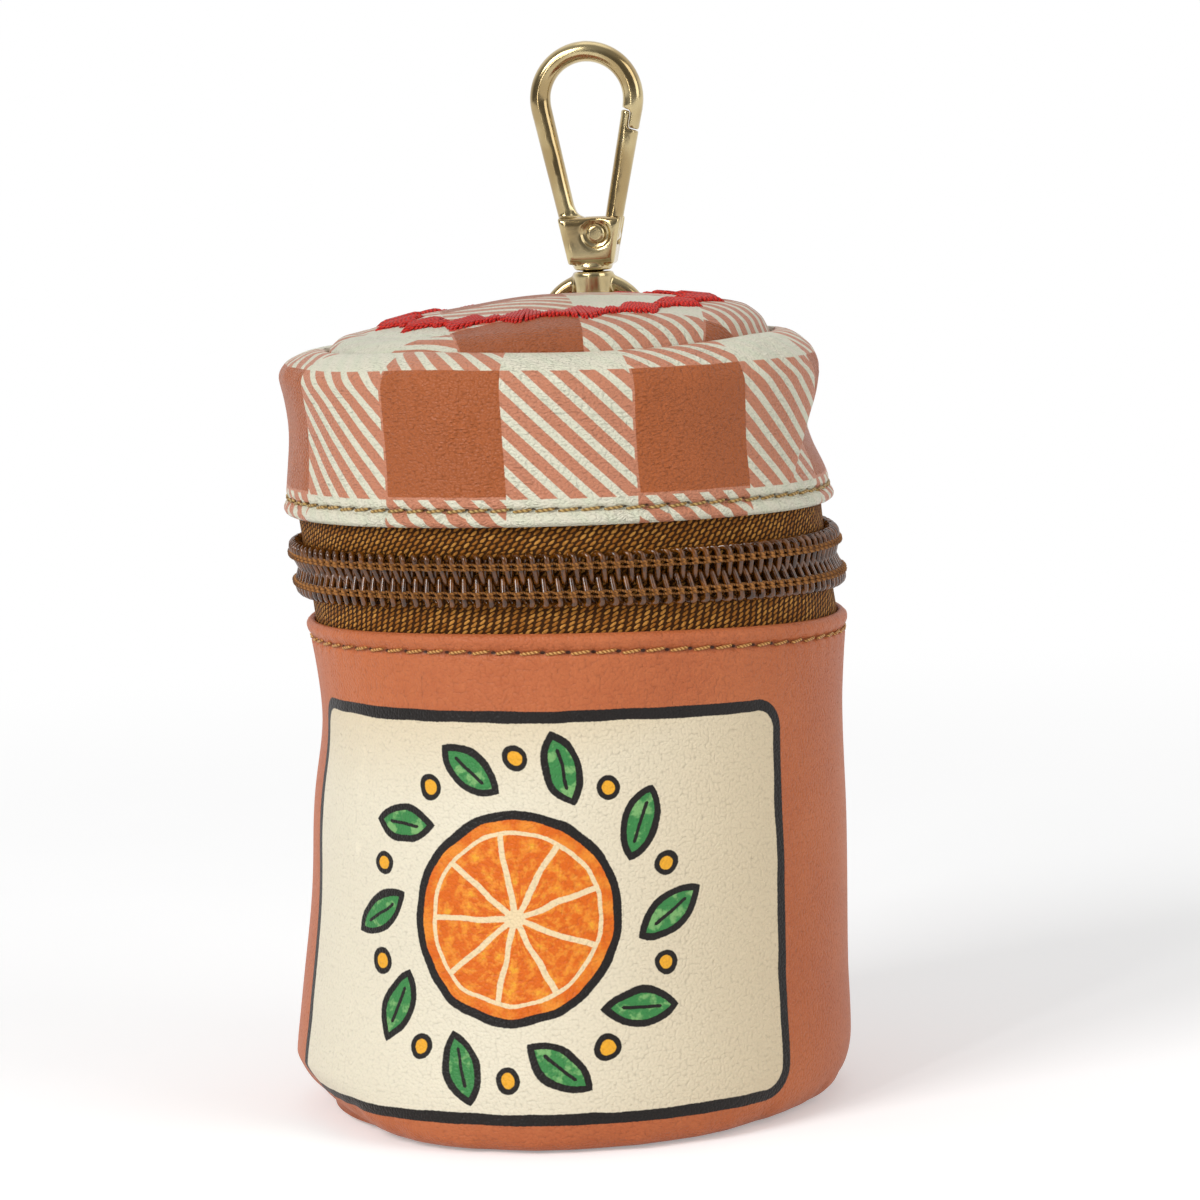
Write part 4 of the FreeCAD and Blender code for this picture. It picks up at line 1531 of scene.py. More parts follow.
    def build_stitches(self, material: Material) -> None:
        """Sews the rim.

        Args:
            material: tan thread.
        """
        sewing = Sewing(Stitch(long=2.0, thread_r=0.16, lean=0.14), self.slack, 11)
        z = self.rim_z - self.stitch_down
        sewing.ring(follow(z, self.side) - 0.16, z, self.stitches)
        sewing.mesh.finish("rim_stitches", material, Slot.TAN)


# ---------------- zip
@dataclass
class Zip:
    """Two tapes round the neck, two rows of coil and the chain stitch that holds them."""

    slack: Slack
    z: float
    tape_r: float
    lower: tuple[float, float]
    upper: tuple[float, float]
    tape_t: float = 0.9
    half: float = 3.2
    proud: float = 1.6
    filament_r: float = 0.34
    chain_z: float = 1.6
    pitch: float = 1.5
    dip: float = 0.75
    knee: float = 1.85
    past: float = 0.22
    sides: int = 9
    strip_half: float = 16.7

    def build_tape(self, name: str, node: str, low: float, high: float, material: Material) -> None:
        """Makes one tape.

        Args:
            name: the piece's name.
            node: the CAD node it stands for.
            low, high: its edges.
            material: its weave.
        """
        mesh = Mesh()
        inner = self.tape_r - self.tape_t
        outside = outline([(inner, low, 0), (self.tape_r, low, 0.2), (self.tape_r, high, 0.2), (inner, high, 0)], 0.5)
        profile = np.concatenate([outside, [(inner, low)]])

        def relief(azimuth: Array, z: Array) -> tuple[Array, Array]:
            """Slight waves of the tape."""
            outer = (z > low + 0.3) & (z < high - 0.3)
            return np.where(outer, 0.05 * np.sin(np.radians(azimuth) * 17 + z) - 0.03, 0.0), 0 * z

        lathe(mesh, profile, self.slack, 300, self.tape_r, (low + high) / 2, relief)
        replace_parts(mesh.finish(name, material, Slot.TAPE), node)

    def turns(self) -> int:
        """Turns of coil in one row."""
        return int(math.radians(360.0 - 2 * self.strip_half) * (self.tape_r + self.proud) / self.pitch)

    def step(self) -> float:
        """Degrees that one turn of coil takes up."""
        return (360.0 - 2 * self.strip_half) / self.turns()

    def build_coil(self, name: str, node: str, row: Row, material: Material) -> None:
        """Makes one row of coil as one running filament.

        A turn goes over the top from the outer edge to the middle, back underneath, and on to the next turn.

        Args:
            name: the piece's name.
            node: the CAD node it stands for.
            row: which row.
            material: its nylon.
        """
        mesh, rng = Mesh(), Random(20 + row.value)
        r, top = self.filament_r, self.proud - self.filament_r
        count, edge = self.turns(), self.half - r
        turn = outline([(edge, (top + r) / 2, 0), (edge, top, 0.46), (self.knee, top + 0.03, 0.8),
                        (-self.past, top - self.dip, 0.18), (-self.past, r, 0.18), (edge, r + 0.02, 0.42),
                        (edge, (top + r) / 2, 0)], 0.34)
        share = distances(turn)
        share /= share[-1]
        advance = self.pitch * (np.clip(share / 0.08, 0, 1) * 0.25 + np.clip((share - 0.56) / 0.34, 0, 1) * 0.35
                                + np.clip((share - 0.90) / 0.10, 0, 1) * 0.4)
        rows = []
        for k in range(count):
            start = (k + (0.0 if row is Row.LOWER else 0.5) - count / 2) * self.pitch
            rows.append(np.stack([start + advance[:-1] + rng.uniform(-0.03, 0.03), turn[:-1, 0] * row.value,
                                  turn[:-1, 1] + rng.uniform(-0.02, 0.02)], axis=-1))
        path = np.concatenate(rows)
        along, up, out = np.moveaxis(tube(path, r, self.sides, (1.0, 0.001, 0.0)), -1, 0)
        points = self.slack.settle(polar(self.tape_r + out, along * self.step() / self.pitch, self.z + up))
        mesh.rod(points, tube_flat(path, r, self.sides), flip=row is Row.UPPER)
        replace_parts(mesh.finish(name, material, Slot.COIL), node)

    def build_chain(self, material: Material) -> None:
        """Sews two wavy strands over each row, which meet on every turn of coil.

        Args:
            material: brown thread.
        """
        mesh, step = Mesh(), self.step()
        phase = np.arange(self.turns() * 8 - 7) / 8.0
        bow = np.abs(np.sin(math.pi * phase))
        for row in Row:
            azimuth = self.strip_half - 180.0 + ((0.25 if row is Row.LOWER else 0.75) + phase) * step
            for strand in (-1, 1):
                w = row.value * self.chain_z + strand * (0.13 + 0.17 * bow) + 0.05 * np.sin(2 * math.pi * phase)
                h = self.proud - 0.02 - 0.62 * bow ** 1.3
                path = polar(self.tape_r + h, azimuth, self.z + w)
                rings = tube(path, 0.14 + 0.14 * (1 - bow) ** 1.4, 7, (0, 0, 1))
                mesh.rod(self.slack.settle(rings), tube_flat(path, 0.17, 7))
        mesh.finish("coil_stitches", material, Slot.COIL)


# ---------------- lid
@dataclass
class Lid:
    """The lid: a band that rolls over the shoulder, a padded top panel, its border and the hem's stitches."""

    slack: Slack
    top_z: float
    hem_r: float
    hem_z: float = 67.5
    neck_z: float = 61.5
    pinch: float = 0.55
    tall: float = 17.3
    shoulder: float = 2.8
    top_r: float = 25.0
    bed_z: float = 84.4
    seam_z: float = 85.7
    core_r: float = 28.4
    leather_t: float = 0.95
    tuck: float = 2.2
    stitches: int = 78
    stitch_up: float = 1.8
    column_az: float = -27.4
    crown_r: float = 24.6
    left_sag: float = 1.4
    pattern_turn: float = 14.4
    row_z: float = 70.5
    pattern_r: float = 30.16
    top_cell: tuple[float, float] = (-12.3, -30.6)
    border_r: float = 17.0
    lozenges: int = 16
    lozenge_long: float = 5.58
    lozenge_wide: float = 5.6
    knot_r: float = 1.0
    plump: float = 0.22
    thread_r: float = 0.215

    def side(self) -> Knots:
        """The band's outside, as (height, radius) pairs."""
        return ((self.hem_z + 0.47, self.hem_r), (self.hem_z + self.tall / 2, self.hem_r - self.pinch),
                (self.hem_z + self.tall - self.shoulder, self.hem_r - self.pinch / 3))

    def seam(self) -> Seam:
        """The hem's row of stitches."""
        return Seam(self.hem_r, self.hem_z + self.stitch_up, self.stitches, groove=0.30, groove_wide=0.38,
                    hole=0.26, pucker=0.06, pucker_wide=1.4)

    def profile(self) -> Array:
        """Draws the band's section.

        Returns:
            Its (radius, z) points, from the neck's middle, round the hem and over the shoulder, to the middle under
            the top panel.
        """
        inner, top = self.hem_r - self.leather_t, self.hem_z + self.tall
        hem = outline([(inner, self.hem_z + self.tuck, 0), (inner, self.hem_z, 0.46), (self.hem_r, self.hem_z, 0.46),
                       (self.hem_r, self.hem_z + 0.9, 0)], 0.16)
        rise = np.concatenate([np.arange(self.hem_z + 1.05, self.hem_z + 3.4, 0.2),
                               np.arange(self.hem_z + 3.7, top - self.shoulder, 0.45)])
        band = np.stack([follow(rise, self.side()), rise], axis=-1)
        turn = np.radians(np.linspace(0, 62, 15))
        roll = np.stack([self.side()[-1][1] - 3.2 * (1 - np.cos(turn)), top - self.shoulder + 3.05 * np.sin(turn)],
                        axis=-1)
        t, seam_r = np.linspace(0, 1, 9)[1:], self.top_r + 0.75
        over = np.stack([np.linspace(roll[-1][0], seam_r, 9)[1:],
                         roll[-1][1] + (self.seam_z - roll[-1][1]) * (1 - (1 - t) ** 1.8)], axis=-1)
        seam = outline([(seam_r, self.seam_z, 0), (self.top_r, self.seam_z, 0.5), (self.top_r, self.bed_z, 0)],
                       0.16)[1:]
        start = [(0, self.neck_z), (self.core_r, self.neck_z), (self.core_r, self.hem_z + self.tuck)]
        return np.concatenate([start, hem, band, roll, over, seam, [(0, self.bed_z)]])

    def relief(self, azimuth: Array, z: Array) -> tuple[Array, Array]:
        """Shapes the band: the stitched groove over the rolled hem, puckers and soft wrinkles.

        Args:
            azimuth, z: where.

        Returns:
            Outward shifts, and upward ones of 0.
        """
        angle = np.radians(azimuth)
        upper = np.clip((z - 80.0) / 4.0, 0, 1)
        wrinkle = (0.06 * np.sin(23 * angle + 1.0 + 0.4 * z) + 0.042 * np.sin(37 * angle - 0.6 * z)) * (0.3 + upper)
        roll = 0.16 * bell(z, self.hem_z + 0.75, 0.5)
        outward = 0.25 * bell(z, 78.0, 6.0) + roll - self.seam().sink(azimuth, z) + wrinkle
        return np.where((z > self.hem_z + 0.2) & (z < self.seam_z - 0.05), outward, 0.0), 0 * z

    def first_column(self) -> float:
        """Flat x of azimuth 0, so that a solid column starts at flat x 0."""
        return -math.radians(self.column_az) * self.pattern_r

    def needle_row(self) -> NeedleRow:
        """Finds where the hem's stitches pierce the band.

        Returns:
            The row.
        """
        pitch = 2 * math.pi * self.pattern_r / self.stitches
        # Painted shade: 0.3 darkens the groove, and the colour fills the holes.
        return NeedleRow(self.hem_z + self.stitch_up - self.row_z, pitch, self.first_column(), 0.3,
                         linear(70, 52, 30))

    def build_band(self, material: Material) -> None:
        """Makes the band.

        Args:
            material: gingham leather.
        """
        mesh = Mesh()
        lathe(mesh, self.profile(), self.slack, self.stitches * 7, self.pattern_r, self.row_z + 2.0, self.relief,
              flat_shift=(self.first_column(), -self.row_z))
        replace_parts(mesh.finish("gingham_band", material, Slot.GINGHAM), "lid_band")

    def dome_z(self, radius: Array) -> Array:
        """Height of the padded top panel at a radius."""
        return self.top_z - follow(radius, ((0.0, 0.0), (8.0, 0.33), (14.0, 1.0), (18.0, 1.72), (20.7, 2.3),
                                            (22.6, 3.15), (23.9, 4.25), (self.crown_r, 5.2)))

    def sag(self, radius: Array, azimuth: Array) -> Array:
        """Says how far the used top panel lies over its true shape, or under it.

        Args:
            radius, azimuth: where.

        Returns:
            The upward shift.
        """
        angle = np.radians(azimuth)
        quilt = (0.10 * np.sin(3 * angle + 0.4) + 0.06 * np.sin(5 * angle + 2.0)) * np.clip(radius / 20, 0, 1) ** 2
        quilt = quilt + 0.07 * np.sin(17 * angle + radius * 0.3) * bell(radius, 23.4, 1.4)
        across = radius * np.sin(np.radians(azimuth - self.slack.face))
        low = 1.0 / (1.0 + np.exp((across + 6.0) / 3.0))
        return quilt - self.left_sag * low * np.clip((self.crown_r - radius) / 3.5, 0, 1)

    def build_top(self, material: Material) -> None:
        """Makes the padded top panel, crowned, with a full edge that turns down into its seam.

        Args:
            material: gingham leather, a darker copy in painted shade.
        """
        edge_r = self.top_r - 0.15
        radii = np.concatenate([np.linspace(0, 20, 51), np.linspace(20.4, self.crown_r, 22)])
        crown = np.stack([radii, self.dome_z(radii)], axis=-1)
        drop = outline([(self.crown_r, self.top_z - 5.2, 0), (edge_r, self.top_z - 5.9, 0.3), (edge_r, self.bed_z, 0),
                        (0, self.bed_z, 0)], 0.4)[1:]
        profile = np.concatenate([crown, drop[drop[:, 0] > 24.0], [(0, self.bed_z)]])[::-1]
        azimuth = np.linspace(-180, 180, 301)
        steps = distances(profile)
        az, r, z = np.broadcast_arrays(azimuth, profile[:, :1], profile[:, 1:])
        z = z + np.where(z > self.top_z - 5.5, self.sag(r, az), 0.0)
        reach = np.minimum(steps[-1] - steps, edge_r + 3.0)[:, None]
        turned = np.radians(azimuth - self.pattern_turn)
        flat = np.stack([reach * np.sin(turned), -reach * np.cos(turned)], axis=-1) - np.array(self.top_cell)
        mesh = Mesh()
        mesh.grid(self.slack.settle(polar(r, az, z))[:, :-1], flat, closed=True)
        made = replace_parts(mesh.finish("shaded_gingham_top", material, Slot.GINGHAM), "lid_top")

    def build_border(self, material: Material) -> None:
        """Embroiders the ring of lozenges and knots, thread by thread, across the ring.

        Args:
            material: red thread.
        """
        mesh, rng = Mesh(), Random(5)
        t = np.linspace(0, 1, 11)
        cover = np.minimum(1.0, np.sin(math.pi * t) * 2.2)
        for k in range(2 * self.lozenges):
            is_knot = k % 2 == 1
            half_long = self.knot_r if is_knot else self.lozenge_long / 2
            count = 5 if is_knot else 14
            for n in range(count):
                place = (n + 0.5) / count * 2 - 1
                if is_knot:
                    half_wide = math.sqrt(max(0.0, 1 - place * place)) * 0.95
                else:
                    half_wide = (1 - abs(place)) * self.lozenge_wide / 2 + 0.12
                half_wide += rng.uniform(-0.07, 0.07)
                lean = rng.uniform(-0.05, 0.05)
                across = (t - 0.5) * 2 * half_wide
                plump = self.plump * (2 - place * place)
                out = -0.10 + (plump + rng.uniform(-0.02, 0.02)) * cover
                r = self.border_r + across
                turn = k * 180.0 / self.lozenges + np.degrees((place * half_long + lean * across) / self.border_r)
                path = polar(r, turn, self.dome_z(r) + self.sag(r, turn) + out)
                rings = self.slack.settle(tube(path, self.thread_r * (0.7 + 0.3 * cover), 8, (0, 0, 1)))
                mesh.rod(rings, tube_flat(path, 0.2, 8) + rng.uniform(0, 20))
        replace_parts(mesh.finish("lozenge_border", material, Slot.RED), "lid_border")

    def build_stitches(self, material: Material) -> None:
        """Sews the hem.

        Args:
            material: olive thread.
        """
        sewing = Sewing(Stitch(long=2.0, thread_r=0.17, lean=0.11), self.slack, 12)
        z = self.hem_z + self.stitch_up
        sewing.ring(follow(z, self.side()) - 0.20, z, self.stitches)
        sewing.mesh.finish("hem_stitches", material, Slot.OLIVE)


# ---------------- back
@dataclass
class BackFittings:
    """The strip over the zip's ends and the tab that carries the clasp."""

    slack: Slack
    strip_low: float
    strip_high: float
    outer_r: float = 31.75
    strip_half: float = 16.7
    seam_across: float = 0.84
    seam_along: float = 0.86
    tab_half: float = 4.3
    tab_foot: float = 71.6
    tab_out: float = 32.02
    box_half: float = 3.35
    box_low: float = 72.7
    box_high: float = 77.9
    hug: float = 61.0
    bar_y: float = 32.8
    bar_z: float = 83.0
    leaf: float = 0.54
    bed: Knots = ((51.0, 29.95), (53.0, 30.05), (55.3, 30.32), (56.2, 29.5), (58.0, 29.38), (65.0, 29.38),
                  (66.8, 29.6), (67.8, 30.78), (71.5, 30.62))
    top: Knots = ((51.0, 31.05), (54.0, 31.35), (56.0, 31.45), (61.5, 31.35), (66.0, 31.6), (69.0, 31.8),
                  (71.5, 31.65))

    def __post_init__(self) -> None:
        """Finds the strip's middle height and half its length."""
        self.middle = (self.strip_low + self.strip_high) / 2
        self.reach = (self.strip_high - self.strip_low) / 2

    def build_strip(self, material: Material) -> None:
        """Makes the strip.

        Args:
            material: plain leather.
        """
        across, along = eased(29), eased(45, 0.06)

        def points_at(a: Array, b: Array, high: Array) -> Array:
            """Places points of the strip.

            Args:
                a, b: places across and along.
                high: 0 on its bed and 1 on its outside.

            Returns:
                The points.
            """
            z = self.middle + b * self.reach
            bed, top = follow(z, self.bed), follow(z, self.top)
            line_a = bell(np.abs(a), self.seam_across, 0.06) * (np.abs(b) < self.seam_along + 0.02)
            line_b = bell(np.abs(b), self.seam_along, 0.05) * (np.abs(a) < self.seam_across + 0.02)
            swell = 0.08 * np.sin(5 * b + 1.0) * np.cos(2.2 * a) - 0.16 * np.maximum(line_a, line_b)
            return polar(bed + (top - bed + swell) * high, BACK + a * self.strip_half, z)

        b, a = np.meshgrid(along, across, indexing="ij")
        flat = np.stack([a * math.radians(self.strip_half) * self.outer_r, self.middle + b * self.reach], axis=-1)
        mesh = Mesh()
        slab(mesh, points_at, across, along, (0.09, 0.072), flat)
        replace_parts(mesh.finish("strip_leather", material, Slot.TERRACOTTA), "back_strip")

    def build_strip_stitches(self, material: Material) -> None:
        """Sews the strip down all round, inside its edge.

        Args:
            material: tan thread.
        """
        sewing = Sewing(Stitch(long=2.1, thread_r=0.26), self.slack, 13)
        low, high = self.middle - self.seam_along * self.reach, self.middle + self.seam_along * self.reach
        side = self.seam_across * self.strip_half

        def on_strip(turn: float, z: float) -> Array:
            """A point on the strip's outside."""
            return polar(follow(z, self.top) - 0.14, BACK + turn, z)

        heights, turns = np.linspace(low, high, 8), np.linspace(-side, side, 7)
        for turn in (-side, side):
            for z, next_z in zip(heights, heights[1:]):
                sewing.row(on_strip(turn, z), on_strip(turn, next_z), 2.5)
        for z in (low, high):
            for turn, next_turn in zip(turns, turns[1:]):
                sewing.row(on_strip(turn, z), on_strip(next_turn, z), 2.6)
        sewing.mesh.finish("strip_stitches", material, Slot.TAN)

    def tab_path(self) -> Array:
        """Draws the tab's middle line.

        Returns:
            Its (y, z) points, up the lid, round the eye's bar and down again.
        """
        r = 1.0 + self.leaf
        y, z = self.bar_y, self.bar_z
        return outline([(30.86, self.tab_foot, 0), (30.86, 79.2, 3.0), (y - r, 81.6, 2.0), (y - r, z + r, r - 0.02),
                        (y + r, z + r, r - 0.02), (y + r, z - 0.7, 1.2), (self.tab_out, 78.9, 2.5),
                        (self.tab_out, self.tab_foot, 0)], 0.3)

    def build_tab(self, material: Material) -> None:
        """Makes the folded tab as one band with rounded edges.

        Args:
            material: plain leather.
        """
        path = self.tab_path()
        tangent = unit(np.gradient(path, axis=0))
        normal = np.stack([-tangent[:, 1], tangent[:, 0]], axis=-1)
        flank, t = self.tab_half - self.leaf, self.leaf
        right = [(flank + t * math.cos(a), t * math.sin(a)) for a in np.radians(np.linspace(-90, 90, 7))]
        fill = np.linspace(flank, -flank, 15)[1:-1]
        section = np.array(right + [(x, t) for x in fill] + [(-x, -n) for x, n in right] + [(-x, -t) for x in fill])
        x = np.broadcast_to(section[:, 0], (len(path), len(section)))
        y, z = np.moveaxis(path[:, None] + normal[:, None] * section[None, :, 1:], -1, 0)
        y = y - x ** 2 / self.hug * np.clip((80.8 - z) / 3.0, 0, 1)
        outer = (np.arange(len(path))[:, None] > len(path) / 2) & (np.abs(x) < flank)
        sewn = outer & (z > self.box_low - 0.5) & (z < self.box_high + 0.3)
        points = np.stack([x, y - 0.12 * bell(np.abs(x), self.box_half, 0.3) * sewn, z], axis=-1)
        around = distances(np.append(section, section[:1], axis=0))
        mesh = Mesh()
        mesh.rod(points, np.stack(np.meshgrid(around, distances(path)), axis=-1))
        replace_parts(mesh.finish("tab_leather", material, Slot.TERRACOTTA), "clasp_tab")

    def build_tab_stitches(self, material: Material) -> None:
        """Sews a box through both leaves of the tab.

        Args:
            material: tan thread.
        """
        sewing = Sewing(Stitch(long=1.9, thread_r=0.24), self.slack, 14)
        outward = np.array([0.0, 1.0, 0.0])

        def on_tab(x: float, z: float) -> Array:
            """A point on the tab's outer leaf."""
            return np.array([x, self.tab_out + self.leaf - 0.10 - x * x / self.hug, z])

        half, low, high = self.box_half, self.box_low, self.box_high
        for x in (-half, half):
            sewing.row(on_tab(x, low), on_tab(x, high), 2.3, outward)
        for z in (low, high):
            sewing.row(on_tab(-half, z), on_tab(half, z), 2.2, outward)
        sewing.mesh.finish("tab_stitches", material, Slot.TAN)


# ---------------- metal
@dataclass(frozen=True)
class Casting:
    """A cast metal part: its CAD surface joined with its details, and every edge rounded as in a mould."""

    node: str
    body: str
    rounds: int
    voxel: float = 0.15

    def build(self, material: Material, details: Sequence["Mesh"] = ()) -> None:
        """Makes the piece that stands for the node.

        Args:
            material: its plating.
            details: closed forms that the casting takes in.
        """
        name = self.node + "_casting"
        form = bmesh.new()
        form.from_mesh(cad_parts[self.node].data)
        for number, detail in enumerate(details):
            form.from_mesh(detail.data(f"{name}_{number}"))
        mesh = bpy.data.meshes.new(name)
        form.to_mesh(mesh)
        form.free()
        made = bpy.data.objects.new(name, mesh)
        bpy.context.scene.collection.objects.link(made)
        remesh = made.modifiers.new("remesh", "REMESH")
        remesh.mode, remesh.voxel_size = "VOXEL", self.voxel * MM
        remesh.use_smooth_shade = True
        smooth = made.modifiers.new("smooth", "SMOOTH")
        smooth.factor, smooth.iterations = 0.5, self.rounds
        bake_modifiers(made)
        made.data.materials.clear()
        made.data.materials.append(material)
        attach(made, self.body)
        log.info("%s: %d faces", name, len(made.data.polygons))
        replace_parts(made, self.node)


@dataclass
class Clasp:
    """The swivel hook, its gate and its eye, and the zip's slider and pull, all plated."""

    hook_top: float
    pivot_x: float
    pivot_z: float
    plane_y: float
    hook_tall: float = 26.3
    arch_r: float = 5.56
    arch_out: float = 6.8
    taper: float = 11.7
    wire_r: float = 1.2
    gate_half: float = 1.04
    gate_drop: float = 0.6
    nose_drop: float = 0.1
    play: float = 0.12
    collar_r: float = 2.3
    collar_tall: float = 0.69
    fork_floor: tuple = ((1.5, 1.5), (3.0, 1.5), (3.17, 2.34), (2.7, 2.32), (1.5, 1.86))
    crotch: tuple = ((-2.3, 5.3), (-0.5, 5.3), (-0.5, 5.56), (-1.2, 5.74), (-1.68, 6.15), (-1.97, 6.9), (-2.4, 7.0))

    def prism(self, corners: Sequence[tuple[float, float]], half: float) -> Mesh:
        """Makes an upright prism across the clasp.

        Args:
            corners: its outline as (x, height over the block's foot).
            half: half its thickness.

        Returns:
            The closed mesh.
        """
        foot = self.hook_top - self.hook_tall
        ring = np.array([(x, self.plane_y, foot + z) for x, z in corners])
        side = np.array([0.0, half, 0.0])
        mesh = Mesh()
        mesh.rod(np.stack([ring - side, ring + side]), np.zeros((2, len(ring) + 1, 2)))
        return mesh

    def collar(self) -> Mesh:
        """Turns the collar between block and barrel, with rounded edges.

        Returns:
            The closed mesh.
        """
        foot, sides = self.hook_top - self.hook_tall, 72
        r, low, high = self.collar_r, foot - self.collar_tall, foot + 0.05
        half = outline([(0, low, 0), (r, low, 0.16), (r, foot - 0.06, 0.16), (r - 0.25, high, 0), (0, high, 0)], 0.1)
        azimuth = np.arange(sides) * 360.0 / sides - 180.0
        mesh = Mesh()
        mesh.grid(polar(half[:, :1], azimuth, half[:, 1:]) + np.array([0.0, self.plane_y, 0.0]),
                  np.zeros((len(half), sides + 1, 2)), closed=True)
        return mesh

    def lip(self, gate: bool) -> Mesh:
        """Makes one lip: the inner half of the bar's section, between a level face and an arc about the pivot.

        Args:
            gate: whether it stands up from the gate, or hangs from the hook's nose.

        Returns:
            The closed mesh.
        """
        arch_z = self.hook_top - self.arch_out
        tip_x = self.arch_r * math.cos(math.radians(self.taper))
        tip_z = arch_z - self.arch_r * math.sin(math.radians(self.taper))
        corner_x = tip_x - self.wire_r - self.pivot_x
        reach = math.hypot(corner_x, tip_z - self.nose_drop - self.pivot_z)
        turn = np.radians(np.linspace(90, 270, 19))
        keep = self.play if gate else 0.0
        x = np.concatenate([np.minimum(np.cos(turn) * self.wire_r, -keep), np.full(5, -keep)]) + tip_x - 0.1
        y = np.clip(np.concatenate([np.sin(turn) * self.wire_r, np.linspace(-1, 1, 7)[1:-1] * self.gate_half]),
                    -self.gate_half, self.gate_half) + self.plane_y
        radius = reach - self.play if gate else reach + 0.01
        arc = self.pivot_z + np.sqrt(radius ** 2 - (x - self.pivot_x) ** 2)
        level = tip_z - self.gate_drop - 0.05 if gate else tip_z - self.nose_drop + 0.05
        low, high = np.minimum(arc, level), np.maximum(arc, level)
        rows = np.linspace(0, 1, 5)[:, None]
        z = low + (high - low) * rows
        lean = (z - tip_z) * math.tan(math.radians(self.taper))
        points = np.stack([x + lean, np.broadcast_to(y, z.shape), z], axis=-1)
        mesh = Mesh()
        mesh.rod(points, np.zeros((len(rows), len(x) + 1, 2)))
        return mesh

    def build(self, material: Material) -> None:
        """Casts and plates every part; the rivet keeps its turned shape.

        Args:
            material: gold plating.
        """
        Casting("clasp_hook", "hook", 22).build(material, [
            self.collar(), self.lip(False), self.prism(self.fork_floor, 1.3), self.prism(self.crotch, 0.7)])
        Casting("clasp_gate", "gate", 14).build(material, [self.lip(True)])
        Casting("clasp_eye", "eye", 10).build(material)
        Casting("zip_slider", "pouch", 8).build(material)
        Casting("zip_pull", "pull", 8).build(material)
        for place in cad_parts["gate_rivet"].material_slots:
            place.material = material
        log.info("gate_rivet: plated")


# ---------------- studio
@dataclass(frozen=True)
class Lamp:
    """A soft rectangular lamp."""

    name: str
    place: tuple[float, float, float]
    size: tuple[float, float]
    power: float
    aim: tuple[float, float, float] = (0.0, 0.0, 0.06)

    def hang(self) -> None:
        """Adds the lamp to the scene."""
        data = bpy.data.lights.new(self.name, "AREA")
        data.shape = "RECTANGLE"
        data.size, data.size_y = self.size
        data.energy = self.power
        lamp = bpy.data.objects.new(self.name, data)
        lamp.location = self.place
        lamp.rotation_euler = (Vector(self.aim) - Vector(self.place)).to_track_quat("-Z", "Y").to_euler()
        bpy.context.scene.collection.objects.link(lamp)


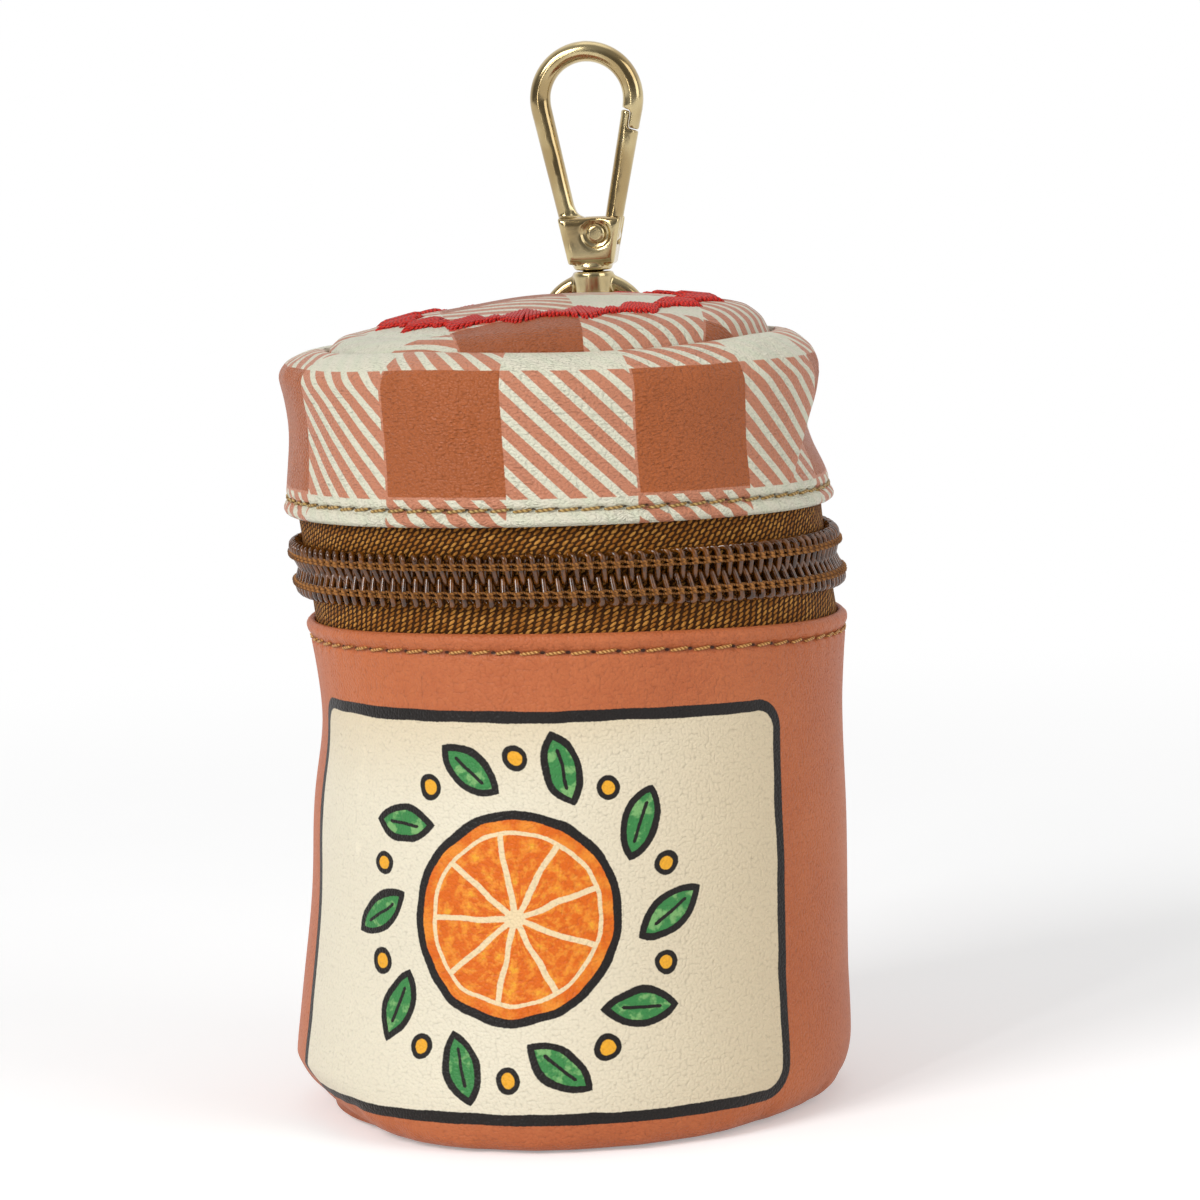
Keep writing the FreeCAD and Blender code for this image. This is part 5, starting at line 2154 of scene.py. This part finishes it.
@dataclass(frozen=True)
class Studio:
    """Camera, soft lamps, a pale floor and white surroundings."""

    eye: tuple[float, float, float] = (0.0923, -0.529, 0.115)
    face: float = 9.4
    lens: float = 144.0
    pitch: float = 6.25
    roll: float = 2.2
    ambient: float = 0.42
    floor_glow: float = 0.30
    floor_half: float = 6.0
    floor_colour: Colour = linear(240, 240, 240)
    white: Colour = linear(255, 255, 255)
    lamps: tuple[Lamp, ...] = (
        Lamp("key", (-0.48, -0.66, 0.56), (0.34, 0.34), 4.4),
        Lamp("strip", (-0.29, -0.85, 0.50), (0.06, 0.85), 1.2),
        Lamp("fill", (0.80, -0.40, 0.45), (0.5, 0.7), 2.3),
        Lamp("top", (0.05, 0.15, 0.95), (0.6, 0.5), 0.55),
    )

    def set_camera(self) -> None:
        """Adds the camera."""
        data = bpy.data.cameras.new("camera")
        data.lens, data.sensor_width = self.lens, 36.0
        data.clip_start, data.clip_end = 0.01, 30.0
        camera = bpy.data.objects.new("camera", data)
        turn = (Matrix.Rotation(math.radians(self.face), 3, "Z")
                @ Matrix.Rotation(math.radians(90 - self.pitch), 3, "X")
                @ Matrix.Rotation(math.radians(-self.roll), 3, "Z"))
        camera.rotation_euler = turn.to_euler()
        camera.location = self.eye
        bpy.context.scene.collection.objects.link(camera)
        bpy.context.scene.camera = camera

    def set_world(self) -> None:
        """Makes the surroundings white behind, and greyer towards the front where a room would be."""
        world = bpy.data.worlds.new("surroundings")
        bpy.context.scene.world = world
        world.use_nodes = True
        world.node_tree.nodes.clear()
        bench = Bench(world.node_tree)
        rays = bench.node("ShaderNodeLightPath")
        camera = bench.out(rays, "Is Camera Ray")
        shiny = bench.out(rays, "Is Glossy Ray").most(bench.out(rays, "Is Transmission Ray"))
        _, y, z = bench.split(bench.out(bench.node("ShaderNodeTexCoord"), "Generated"))
        behind = y.smooth(-0.35, 0.55)
        above = z.smooth(0.1, 0.9)
        room = behind * 0.75 + above * 0.2 + 0.17
        strength = camera.most(shiny * room.least(1.0)).most((1.0 - camera.most(shiny)) * self.ambient)
        background = bench.node("ShaderNodeBackground", {"Color": self.white, "Strength": strength})
        output = bench.node("ShaderNodeOutputWorld")
        world.node_tree.links.new(background.outputs[0], output.inputs["Surface"])

    def lay_floor(self) -> None:
        """Lays a wide pale floor that keeps the pouch's soft shadow and fades to plain white."""
        mesh = bpy.data.meshes.new("floor")
        wide = self.floor_half
        mesh.from_pydata([(-wide, -wide, 0), (wide, -wide, 0), (wide, wide, 0), (-wide, wide, 0)], [], [(0, 1, 2, 3)])
        floor = bpy.data.objects.new("floor", mesh)
        bpy.context.scene.collection.objects.link(floor)
        bench = Skin("pale_floor")
        place = bench.place()
        x, y, _ = bench.split(place)
        away = x.length(y).smooth(0.10, 0.42)
        rays = bench.node("ShaderNodeLightPath")
        seen = bench.out(rays, "Is Camera Ray").most(bench.out(rays, "Is Glossy Ray")).most(
            bench.out(rays, "Is Transmission Ray"))
        mottle = bench.noise(place, 40.0, 2.0)
        matt = bench.node("ShaderNodeBsdfDiffuse", {"Color": bench.tint(self.floor_colour, mottle * 0.02 + 0.99)})
        glow = bench.node("ShaderNodeEmission", {"Color": self.white, "Strength": seen * self.floor_glow})
        white = bench.node("ShaderNodeEmission", {"Color": self.white, "Strength": 1.0})
        lit = bench.node("ShaderNodeAddShader")
        fade = bench.node("ShaderNodeMixShader")
        output = bench.node("ShaderNodeOutputMaterial")
        links = bench.tree.links
        links.new(matt.outputs[0], lit.inputs[0])
        links.new(glow.outputs[0], lit.inputs[1])
        plug(bench.tree, fade.inputs[0], away * seen)
        links.new(lit.outputs[0], fade.inputs[1])
        links.new(white.outputs[0], fade.inputs[2])
        links.new(fade.outputs[0], output.inputs["Surface"])
        mesh.materials.append(bench.material)

    def build(self) -> None:
        """Sets the whole studio up."""
        self.set_camera()
        self.set_world()
        self.lay_floor()
        for lamp in self.lamps:
            lamp.hang()
        bpy.context.scene.view_settings.view_transform = "Standard"


def main() -> None:
    """Builds the pouch, piece by piece."""
    logging.basicConfig(level=logging.INFO, format="%(name)s: %(message)s")
    Studio().build()
    effects = Effects()
    wall_box, base_box = box_mm("body_wall"), box_mm("base_panel")
    lower, upper = box_mm("zip_tape_lower"), box_mm("zip_tape_upper")
    band, top, strip = box_mm("lid_band"), box_mm("lid_top"), box_mm("back_strip")
    neck_z = band[0].z
    slack = Slack()

    plain = Leather("plain_leather").make(effects)
    cup = Cup(slack, wall_box[1].x, base_box[1].x, base_box[1].z, neck_z=neck_z)
    cup.build_wall(Leather("printed_leather", label=LabelPrint(), needles=cup.needle_row()).make(effects))
    cup.build_base(plain)
    tan = Thread("tan_thread", linear(146, 90, 38), linear(222, 170, 100), pitch=0.42).make(effects)
    cup.build_stitches(tan)

    zipper = Zip(slack, neck_z, lower[1].x, (lower[0].z, lower[1].z), (upper[0].z, upper[1].z))
    zipper.build_tape("tape_below", "zip_tape_lower", *zipper.lower, Twill("twill_below", lean=-1.0).make(effects))
    zipper.build_tape("tape_above", "zip_tape_upper", *zipper.upper, Twill("twill_above", lean=1.0).make(effects))
    nylon = Nylon().make(effects)
    zipper.build_coil("coil_below", "zip_coil_lower", Row.LOWER, nylon)
    zipper.build_coil("coil_above", "zip_coil_upper", Row.UPPER, nylon)
    zipper.build_chain(Thread("brown_thread", linear(100, 60, 22), linear(166, 110, 52), pitch=0.4).make(effects))

    lid = Lid(slack, top[1].z, band[1].x, neck_z=neck_z, bed_z=top[0].z)
    lid.build_band(Gingham(needles=lid.needle_row()).make(effects))
    # The top panel's gingham is the band's made darker: painted shade.
    lid.build_top(Gingham("shaded_gingham_top", solid=linear(156, 84, 45), light=linear(188, 123, 95),
                          cream=linear(213, 209, 190)).make(effects))
    lid.build_border(Thread("red_thread", linear(146, 8, 3), linear(214, 40, 22), pitch=0.5, deep=0.03,
                            roughness=0.42).make(effects))
    lid.build_stitches(Thread("olive_thread", linear(118, 86, 40), linear(198, 164, 100)).make(effects))

    back = BackFittings(slack, strip[0].z, strip[1].z)
    back.build_strip(plain)
    back.build_strip_stitches(tan)
    back.build_tab(plain)
    back.build_tab_stitches(tan)
    gold = Plating().make(effects)
    hook, rivet = box_mm("clasp_hook"), box_mm("gate_rivet")
    pivot = (rivet[0] + rivet[1]) / 2
    Clasp(hook[1].z, pivot.x, pivot.z, pivot.y).build(gold)


if __name__ == "__main__":
    main()
